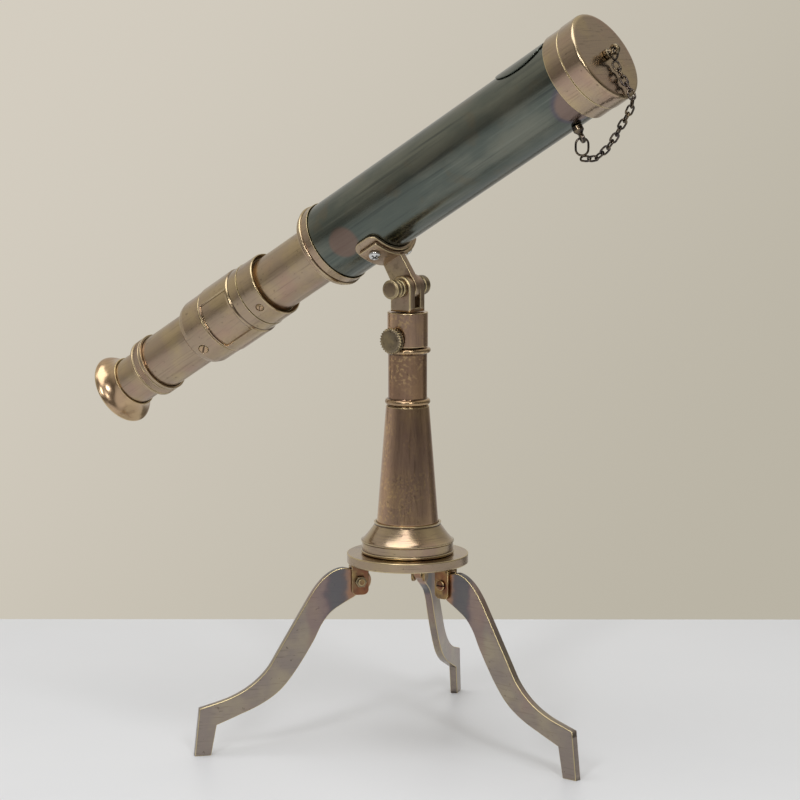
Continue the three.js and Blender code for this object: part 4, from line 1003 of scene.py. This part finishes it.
cap_post = moved(eye_post(CAP_FRONT - 2.6, 0.9, CAP_FRONT + GAP, 2.9, 178.9, CAP_EYE), along)
make_piece("cap_post_turned", cap_post, on_tube, chain_bronze, "cap_swivel_post")
barrel_post = eye_post(BARREL_BORE + GAP, 1.2, BARREL_RADIUS + GAP, 2.9, 27.6, CHAIN_EYE)
barrel_post = moved(moved(barrel_post, spun, POST_TURN), radially, CHAIN_STATION, CHAIN_ANGLE)
make_piece("barrel_post_turned", barrel_post, on_tube, chain_bronze, "barrel_chain_post")


def hung(points, middle, direction, side):
    """Drawn X points along the direction and drawn Y along the side, round a middle."""
    direction = direction / np.linalg.norm(direction)
    side = side - direction * np.dot(side, direction)
    side = side / np.linalg.norm(side)
    return middle + points @ np.stack([direction, side, np.cross(direction, side)])


def tube_point(station, angle, radius):
    """A point at a station, an angle from below and a distance from the tube's axis."""
    angle = np.radians(angle)
    return np.array([station, -radius * np.sin(angle), -radius * np.cos(angle)])


ACROSS = np.array([0, 1.0, 0])
RING_WIRE, RING_HALF, SHACKLE_HALF, SHACKLE_HALF_WIDTH = 0.6, 2.9, 4.6, 3.4
ring_middle = tube_point(CAP_EYE, 0, 0) + 2.5 * gravity
ring = wire_loop(oval_line(RING_HALF, RING_HALF, 40), RING_WIRE, 12)
ring = moved(ring, hung, ring_middle, gravity, ACROSS)
make_piece("cap_ring_wire", ring, on_tube, chain_bronze, "cap_ring")
shackle_middle = tube_point(CHAIN_STATION, CHAIN_ANGLE, CHAIN_EYE) + SHACKLE_HALF * gravity
level = np.array([np.cos(ELEVATION), 0, -np.sin(ELEVATION)])
shackle_side = level * np.sin(np.radians(POST_TURN)) + ACROSS * np.cos(np.radians(POST_TURN))
shackle = wire_loop(oval_line(SHACKLE_HALF, SHACKLE_HALF_WIDTH, 40), RING_WIRE, 12)
shackle = moved(shackle, hung, shackle_middle, gravity, shackle_side)
make_piece("chain_shackle_wire", shackle, on_tube, chain_bronze, "chain_shackle")


# %% Chain line and links
def curve_through(knots, per_span=24):
    """A centripetal Catmull-Rom curve: on each span a cubic whose end slopes weigh the neighbouring
    spans by the square root of their lengths."""
    knots = np.asarray(knots, float)
    p = np.concatenate([[2 * knots[0] - knots[1]], knots, [2 * knots[-1] - knots[-2]]])
    root = np.sqrt(np.linalg.norm(np.diff(p, axis=0), axis=1))[:, None]
    before, here, after = root[:-2], root[1:-1], root[2:]
    step = np.diff(p, axis=0)
    start = here * (step[:-2] / before - (p[2:-1] - p[:-3]) / (before + here) + step[1:-1] / here)
    stop = here * (step[1:-1] / here - (p[3:] - p[1:-2]) / (here + after) + step[2:] / after)
    t = np.linspace(0, 1, per_span, endpoint=False)[None, :, None]
    a, b, m, n = p[1:-2, None], p[2:-1, None], start[:, None], stop[:, None]
    points = a + m * t + (3 * (b - a) - 2 * m - n) * t**2 + (2 * (a - b) + m + n) * t**3
    return np.concatenate([points.reshape(-1, knots.shape[1]), knots[-1:]])


def evenly(line, spacing):
    """Middles and directions of even steps along a line, by its length so far."""
    so_far = np.concatenate([[0], np.cumsum(np.linalg.norm(np.diff(line, axis=0), axis=1))])
    count = int(round(so_far[-1] / spacing))
    at = (np.arange(count) + 0.5) * so_far[-1] / count

    def point(places):
        return np.stack([np.interp(places, so_far, line[:, k]) for k in range(3)], axis=1)

    return point(at), point(at + 0.5) - point(at - 0.5)


CLEAR, SAG, LINK_PITCH, LINK_WIRE, LINK_HALF, LINK_HALF_WIDTH = 1.6, 10, 4.4, 0.58, 2.8, 1.7
rim_point = tube_point(CAP_FRONT + 1.8, 0, CAP_RADIUS + 2.4)
chain_end = shackle_middle + (SHACKLE_HALF + CLEAR) * gravity
sagging = [
    rim_point + (chain_end - rim_point) * s + 4 * SAG * s * (1 - s) * gravity for s in (0.25, 0.5, 0.75)
]
chain_line = curve_through([
    ring_middle + (RING_HALF + CLEAR) * gravity, tube_point(CAP_FRONT + 2.5, 0, 16), rim_point, *sagging,
    chain_end,
])
link = wire_loop(oval_line(LINK_HALF, LINK_HALF_WIDTH, 24), LINK_WIRE, 8)
links = []
for number, (middle, direction) in enumerate(zip(*evenly(chain_line, LINK_PITCH))):
    first_side = np.cross(direction, ACROSS)
    sign = 1 if number % 2 == 0 else -1
    side = first_side / np.linalg.norm(first_side) + sign * ACROSS
    links.append(moved(link, hung, middle, direction, side))
chain = make_piece("cap_chain_links", together(*links), on_tube, chain_bronze, "chain_barrel_run",
                   "chain_cap_run", rides=False)
blend_ends = on_tube(np.stack([chain_end, ring_middle]))
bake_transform(chain)
print("chain links:", len(links))

# %% [markdown]
# ## Draw tubes and focus grip
# Behind the barrel come a large draw tube, a ring held by a round-headed screw, the grip that turns to
# focus, a shoulder held by a slotted screw, the tube for the eye end, a knurled ring, a small tube and the
# flared eye cup. The grip has two sunk finger panels: between two angles its radius drops to the panel's.

# %% Draw tubes
SLEEVE_OUTER = 18.0
for node, rear, front, outer, inner in (
    ("large_draw_tube", -92, -14, FOCUS_TUBE_RADIUS, 15.4),
    ("small_draw_tube", -186.4, -108, EYE_TUBE_RADIUS, 15),
    ("ocular_tube", -206.5, -150, OCULAR_RADIUS, 13),
):
    tube_piece(f"{node}_drawn", plain_tube(rear, front, outer, inner), tube_brass, node)


def even_turn(extra, count=240):
    """Even angles all the way round, with extra ones where a shape needs them."""
    even = np.linspace(0, 2 * np.pi, count, endpoint=False)
    return np.unique(np.concatenate([even, np.asarray(extra)]) % (2 * np.pi))


def pocket(station, angle, reach, floor):
    """Brings the radius down to a floor within a round patch on the outside."""
    def reshape(height, radius, turn):
        aside = np.abs((turn - np.radians(angle) + np.pi) % (2 * np.pi) - np.pi) * radius
        inside = np.clip((reach - np.hypot(height - station, aside)) / 0.2 + 0.5, 0, 1)
        return np.where(radius > floor, radius - (radius - floor) * inside, radius)
    return reshape


def near_screw(station, reach):
    """Stations close together where a screw's pocket is."""
    return np.linspace(station - reach - 0.6, station + reach + 0.6, 30)


GRIP_REAR, GRIP_FRONT, LOBE_RADIUS, PANEL_RADIUS, PANEL_MIDDLE = -124.4, -92.6, 20.6, 19.6, 74.6
SHOULDER_REAR, SLEEVE_REAR, SLEEVE_FRONT, FRONT_RING_END = -143.0, -139.8, -82.7, -80.0
COLLAR_SCREW, RING_SCREW = (-135.4, 51.6), (-86.0, 55.6)
shoulder_end = GRIP_REAR - GAP
around = np.radians(np.linspace(-12, 12, 50))
tube_piece("rear_shoulder_turned", [
    (SHOULDER_REAR, EYE_TUBE_RADIUS + 0.4), (SHOULDER_REAR, 18.0), (SHOULDER_REAR + 0.5, 18.7),
    (SHOULDER_REAR + 1.3, 19.2), (SHOULDER_REAR + 3.6, 19.8),
    *[(s, 19.95) for s in near_screw(COLLAR_SCREW[0], 3)], (shoulder_end - 0.6, 20.1), (shoulder_end, 19.9),
    (shoulder_end, SLEEVE_OUTER + GAP), (SLEEVE_REAR, SLEEVE_OUTER + GAP),
    (SLEEVE_REAR, EYE_TUBE_RADIUS + 0.4),
], turned_brass, "rear_shoulder", corner=0.25, reshape=pocket(*COLLAR_SCREW, 2.95, 19.25),
    angles=even_turn(np.radians(COLLAR_SCREW[1]) + around))
tube_piece("collar_front_ring_turned", [
    (GRIP_FRONT + GAP, SLEEVE_OUTER + GAP), (GRIP_FRONT + GAP, 19.6), (-89.5, 19.55),
    *[(s, 19.5) for s in near_screw(RING_SCREW[0], 2.4)], (FRONT_RING_END - 0.5, 19.4),
    (FRONT_RING_END, 19.0), (FRONT_RING_END, 18.7), (FRONT_RING_END - 1.9, 17.3),
    (FRONT_RING_END - 1.9, FOCUS_TUBE_RADIUS + GAP), (SLEEVE_FRONT, FOCUS_TUBE_RADIUS + GAP),
    (SLEEVE_FRONT, SLEEVE_OUTER + GAP),
], turned_brass, "collar_front_ring", corner=0.25, reshape=pocket(*RING_SCREW, 2.4, 18.8),
    angles=even_turn(np.radians(RING_SCREW[1]) + around))
SCREW_TURN = 35  # degrees that both slots are turned from the tube's length
slotted_head = screw_head(2.65, 1.05, 0.3, slot(0.75, 0.6))
domed_head = screw_head(2.05, 0.55, 0.8, slot(0.5, 0.25))
for name, head, floor, middle, node in (
    ("collar_screw_slotted", slotted_head, 19.15, COLLAR_SCREW, "collar_screw"),
    ("ring_screw_domed", domed_head, 18.95, RING_SCREW, "ring_screw"),
):
    head = moved(moved(moved(head, raised, floor), spun, SCREW_TURN), radially, *middle)
    make_piece(name, head, on_tube, eyepiece_brass, node)


# %% Focus grip
PANEL_HALF_ANGLE, PANEL_FRONT = 43.4, -101


def sunk_panels(height, radius, turn):
    """Within the half angle either side of two opposite middles, and between two stations, the radius
    drops to the panel's. The rear step is sharp and the front one runs out in a slope."""
    from_middle = (turn - np.radians(PANEL_MIDDLE) + np.pi / 2) % np.pi - np.pi / 2
    beside = (np.radians(PANEL_HALF_ANGLE) - np.abs(from_middle)) / np.radians(0.7) + 0.5
    rear_step = np.clip((height - GRIP_REAR - 1.4) / 0.25, 0, 1)
    front_slope = np.clip((PANEL_FRONT - height) / 2.0, 0, 1) ** 0.6
    sunk = np.clip(beside, 0, 1) * (rear_step * front_slope)
    return np.where(radius > PANEL_RADIUS, radius - (radius - PANEL_RADIUS) * sunk, radius)


opposite_angles = np.array([0, 180])[:, None] + PANEL_HALF_ANGLE * np.array([-1, 1])
panel_edges = np.radians(PANEL_MIDDLE + opposite_angles.ravel())
step_angles = np.radians(np.array([-1.2, -0.7, -0.35, 0, 0.35, 0.7, 1.2]))
tube_piece("focus_grip_turned", [
    (GRIP_REAR, SLEEVE_OUTER + GAP), (GRIP_REAR, 20.1), (GRIP_REAR + 0.7, 20.5),
    *[(GRIP_REAR + s, LOBE_RADIUS) for s in (1.1, 1.35, 1.65, 2.1, 15)],
    *[(s, LOBE_RADIUS) for s in np.linspace(-104, -100.9, 12)], (-100.4, 20.5), (-99.5, 19.8),
    (GRIP_FRONT, 19.8), (GRIP_FRONT, SLEEVE_OUTER + GAP),
], turned_brass, "focus_grip", corner=0.2, reshape=sunk_panels,
    angles=even_turn((panel_edges[:, None] + step_angles).ravel()))

# %% Knurled ring and eye cup
RING_REAR, RING_FRONT, RING_RADIUS = -188.0, -178.6, 17.8
ring_bore = OCULAR_RADIUS + 0.4
tube_piece("knurled_ring_turned", [
    (RING_REAR, ring_bore), (RING_REAR, 17.2), (RING_REAR + 0.6, RING_RADIUS),
    (RING_REAR + 1.8, RING_RADIUS),
    (RING_REAR + 2.1, 17.3), (RING_REAR + 2.4, RING_RADIUS), (RING_REAR + 4.4, RING_RADIUS),
    (RING_FRONT - 2.4, RING_RADIUS), (RING_FRONT - 2.1, 17.3), (RING_FRONT - 1.8, RING_RADIUS),
    (RING_FRONT, RING_RADIUS), (RING_FRONT, EYE_TUBE_RADIUS + GAP),
    (RING_REAR + 1.3, EYE_TUBE_RADIUS + GAP),
    (RING_REAR + 1.3, ring_bore),
], turned_brass, "knurled_ring", 560, 0.2, knurled(96, 0.45, RING_REAR + 2.4, RING_FRONT - 2.4, 17.2))

CUP_FRONT, CUP_SEAT, CUP_REAR, CUP_RADIUS = -204.4, -206.8, -216.4, 21.2
bell_outside = curve_through([
    (CUP_FRONT, 15.4), (CUP_REAR + 8.4, 16.0), (CUP_REAR + 5.2, 17.8), (CUP_REAR + 2.8, 20.1),
    (CUP_REAR + 1.4, 21.0),
], 6)
bell_inside = curve_through([
    (CUP_REAR + 0.1, 20.4), (CUP_REAR + 1.3, 18.5), (CUP_REAR + 4, 14.2), (CUP_REAR + 6.2, 9.0),
    (CUP_REAR + 7, 6.0),
], 6)
tube_piece("eye_cup_turned", [
    (CUP_SEAT, 6.0), (CUP_SEAT, OCULAR_RADIUS + GAP), (CUP_FRONT, OCULAR_RADIUS + GAP), *bell_outside,
    (CUP_REAR + 1, CUP_RADIUS), (CUP_REAR + 0.3, 20.95), *bell_inside,
], eyepiece_brass, "eye_cup", 180, 0.25)

# %% [markdown]
# ## Legs and hinges
# Each leg is a swan-neck strip cut from plate. Its outline is a smooth curve through a few points on each
# side. It hangs in a channel bracket, between two ears, on a slotted pin with a hexagon nut.

# %% Legs
HINGE_RADIUS, HINGE_HEIGHT, LEG_HALF, FOOT_RADIUS = 28.2, 94.6, 2.2, 122.5
LEG_END_RADIUS, FOOT_LENGTH = 6.7, 9.2
EAR_INNER, EAR_OUTER = 2.5, 4.0


def leg_outline():
    """The upper edge outwards, the foot, the lower edge back, and a half circle round the hinge pin."""
    upper = curve_through([
        (HINGE_RADIUS, 101.3), (33.2, 101.4), (37.5, 102.2), (42.5, 101), (48, 97.5), (53.5, 91.5),
        (60.5, 80.5), (74, 58), (81, 46.8), (90, 38.3), (101, 32.3), (FOOT_RADIUS - 3, 26.8),
    ], 8)
    lower = curve_through([
        (110, 17), (98, 21.7), (85, 27.2), (75, 33.7), (67, 42.5), (55, 61), (49.5, 71.5), (44.5, 77.6),
        (38.5, 81.6), (HINGE_RADIUS + 3, 85.6),
    ], 8)
    turn = np.linspace(1.5 * np.pi, 0.5 * np.pi, 20)[:-1]
    round_end = LEG_END_RADIUS * np.column_stack([np.cos(turn), np.sin(turn)])
    end = round_end + np.array([HINGE_RADIUS, HINGE_HEIGHT])
    foot = np.array([(FOOT_RADIUS, 0.0), (FOOT_RADIUS - FOOT_LENGTH, 0.0)])
    return filled_in(np.concatenate([upper, foot, lower, end])[::-1], 4.0)


def channel_bracket():
    """Two ears with rounded lower corners and the web between them."""
    low, high, half, corner = 86.8, DISC_BOTTOM - GAP, 4.8, 3.0
    turn = np.linspace(0, np.pi / 2, 8)
    right = np.column_stack([half - corner + corner * np.sin(turn), low + corner - corner * np.cos(turn)])
    left = right[::-1] * np.array([-1, 1])
    ear = np.concatenate([left, right, [(half, high), (-half, high)]]) + np.array([HINGE_RADIUS, 0])
    ears = [moved(plate(ear, *side, (0.25, 0.25)), crosswise) for side in
            ((-EAR_OUTER, -EAR_INNER), (EAR_INNER, EAR_OUTER))]
    web_outline = rounded_rectangle(half, EAR_INNER + 0.2, 0.1, 2) + np.array([HINGE_RADIUS, 0])
    return together(*ears, plate(web_outline, high - 1.4, high, (0.1, 0.1)))


def hinge_pin():
    """A slotted head outside the near ear and a shank through both."""
    head = moved(screw_head(2.9, 1.0, 0.45, slot(0.75, 0.6)), raised, EAR_OUTER + GAP)
    low, high, radius = -EAR_OUTER - 3.6, EAR_OUTER + 0.5, 1.9
    shank = turned([(low, 0), (low, radius), (high, radius), (high, 0)], 36)
    return on_side(together(head, shank), HINGE_HEIGHT, HINGE_RADIUS)


def hinge_nut():
    """A hexagon with softened edges."""
    turn = np.arange(6) * np.pi / 3
    hexagon = filled_in(3.3 * np.column_stack([np.cos(turn), np.sin(turn)]), 0.6)
    nut = plate(hexagon, -EAR_OUTER - GAP - 2.2, -EAR_OUTER - GAP, (0.3, 0.2))
    return on_side(nut, HINGE_HEIGHT, HINGE_RADIUS)


for number, azimuth in enumerate(LEG_AZIMUTHS, start=1):
    place = on_leg(azimuth)
    leg = moved(plate(leg_outline(), -LEG_HALF, LEG_HALF, (0.5, 0.5)), crosswise)
    for node, detail, skin, finish in (
        (f"leg_{number}", "swan_neck", leg, leg_brass),
        (f"leg_bracket_{number}", "bent", channel_bracket(), bracket_brass),
        (f"hinge_pin_{number}", "slotted", hinge_pin(), bracket_brass),
        (f"hinge_nut_{number}", "hexagon", hinge_nut(), knob_brass),
    ):
        make_piece(f"{node}_{detail}", skin, place, finish, node)

# %% [markdown]
# ## Inside the tubes
# The pieces inside the tubes are right as the CAD model has them, and only show past the cup or with the
# cap off. They stay, and get a blackened finish as the insides of telescopes have, or glass.

# %% Inside pieces
inside_nodes = {
    blackened: ("draw_stop_bush", "focus_sleeve", "erector_tube", "focus_key"),
    lens_glass: ("erector_lens_rear", "erector_lens_front", "field_lens"),
}
for finish, nodes in inside_nodes.items():
    for node in nodes:
        frame["nodes"][node].data.materials.clear()
        frame["nodes"][node].data.materials.append(finish)

# %% [markdown]
# ## Table, light and camera
# The telescope stands on a plain pale table top in front of a warm wall, which is the colour of the
# world here, with painted light falloff across it. Polished metal shows what is around it, so the light
# matters as much as the finish: a large soft panel overhead, two smaller ones in front, and a darker room
# behind the camera.


# %% Table top
def table_finish():
    """Pale and slightly cloudy."""
    bench = Bench("pale table top")
    rows = bench.rows()
    cloud = bench.clouds(rows, 5.0, 4.0)
    return bench.finish(bench.blend(cloud, tone(218, 221, 226), tone(226, 228, 232)), 0.42, metallic=0.0)


VIEW_AZIMUTH = np.radians(34.8)
away = np.array([-np.sin(VIEW_AZIMUTH), np.cos(VIEW_AZIMUTH), 0.0])
aside = np.array([np.cos(VIEW_AZIMUTH), np.sin(VIEW_AZIMUTH), 0.0])
TABLE_BEHIND, TABLE_HALF, TABLE_BEFORE = 0.31, 2.2, 2.6
corner_places = [(-TABLE_HALF, -TABLE_BEFORE), (TABLE_HALF, -TABLE_BEFORE), (TABLE_HALF, TABLE_BEHIND),
                 (-TABLE_HALF, TABLE_BEHIND)]
corners = [COLUMN_AXIS + aside * x + away * y for x, y in corner_places]
table_mesh = bpy.data.meshes.new("table_top")
table_mesh.from_pydata([corner.tolist() for corner in corners], [], [[0, 1, 2, 3]])
table_mesh.materials.append(table_finish())
table_top = bpy.data.objects.new("table_top", table_mesh)
bpy.context.scene.collection.objects.link(table_top)


# %% World and lights
def towards(bench, direction, low, high):
    """0 to 1 as a ray turns towards a direction: their dot product, eased between two values."""
    ray = bench.value("ShaderNodeTexCoord", (), (), "Generated")
    settings = {"operation": "DOT_PRODUCT"}
    share = bench.value("ShaderNodeVectorMath", settings, {0: ray, 1: direction.tolist()}, "Value")
    return share.between(low, high)


def room_world():
    """A warm wall for what the camera sees, paler at the upper left as painted light falloff. For the light
    the room is bright behind the telescope, dark behind the camera and darker to the right."""
    bench = Bench("studio", "worlds")
    lower_right = aside * 0.8 - np.array([0, 0, 0.6])
    # Painted light falloff on the wall: paler towards the upper left, darker towards the lower right.
    wall_with_painted_falloff = bench.blend(towards(bench, lower_right, -0.12, 0.24), tone(211, 204, 191), tone(184, 178, 163))
    room = bench.blend(towards(bench, away, -0.75, 0.3), tone(100, 95, 90), tone(206, 202, 194))
    right = aside * 0.85 - np.array([0, 0, 0.5])
    room = bench.blend(towards(bench, right, 0.1, 0.75) * 0.8, room, tone(58, 54, 48))
    seen = bench.value("ShaderNodeLightPath", (), (), "Is Camera Ray")
    light = bench.value("ShaderNodeBackground", (), {"Color": bench.blend(seen, room, wall_with_painted_falloff)}, "Background")
    bench.make("ShaderNodeOutputWorld", (), {"Surface": light})
    bpy.context.scene.world = bench.made


AIM_HEIGHT = 0.2


def soft_panel(name, sideways_by, towards_by, height, width, tall, power):
    """A rectangular light at a place beside and in front of the column, aimed at the telescope."""
    lamp = bpy.data.lights.new(name, "AREA")
    lamp.shape = "RECTANGLE"
    lamp.size, lamp.size_y, lamp.energy = width, tall, power
    holder = bpy.data.objects.new(name, lamp)
    up = np.array([0, 0, 1.0])
    place = Vector(COLUMN_AXIS + aside * sideways_by - away * towards_by + up * height)
    aim = Vector(COLUMN_AXIS + up * AIM_HEIGHT)
    holder.location = place
    holder.rotation_euler = (aim - place).to_track_quat("-Z", "Y").to_euler()
    bpy.context.scene.collection.objects.link(holder)


room_world()
soft_panel("overhead panel", -0.2, 0.2, 1.7, 1.4, 1.2, 14)
soft_panel("front left panel", -0.6, 1.5, 1.15, 0.22, 0.5, 7)
soft_panel("front right panel", 0.45, 1.5, 1.15, 0.2, 0.5, 6)

# %% Camera
CAMERA_DISTANCE, CAMERA_HEIGHT, FOCAL_LENGTH, FILM_WIDTH = 1.6225, 0.4391, 132.75, 36
CAMERA_PITCH, CAMERA_YAW = np.radians(81.45), np.radians(34.95)
camera_data = bpy.data.cameras.new("camera")
camera_data.lens, camera_data.sensor_width = FOCAL_LENGTH, FILM_WIDTH
camera_data.clip_start, camera_data.clip_end = 0.01, 20
camera = bpy.data.objects.new("camera", camera_data)
camera.location = (COLUMN_AXIS - away * CAMERA_DISTANCE + np.array([0, 0, CAMERA_HEIGHT])).tolist()
camera.rotation_euler = (CAMERA_PITCH, 0, CAMERA_YAW)
bpy.context.scene.collection.objects.link(camera)
bpy.context.scene.camera = camera
bpy.context.scene.view_settings.view_transform = "Standard"
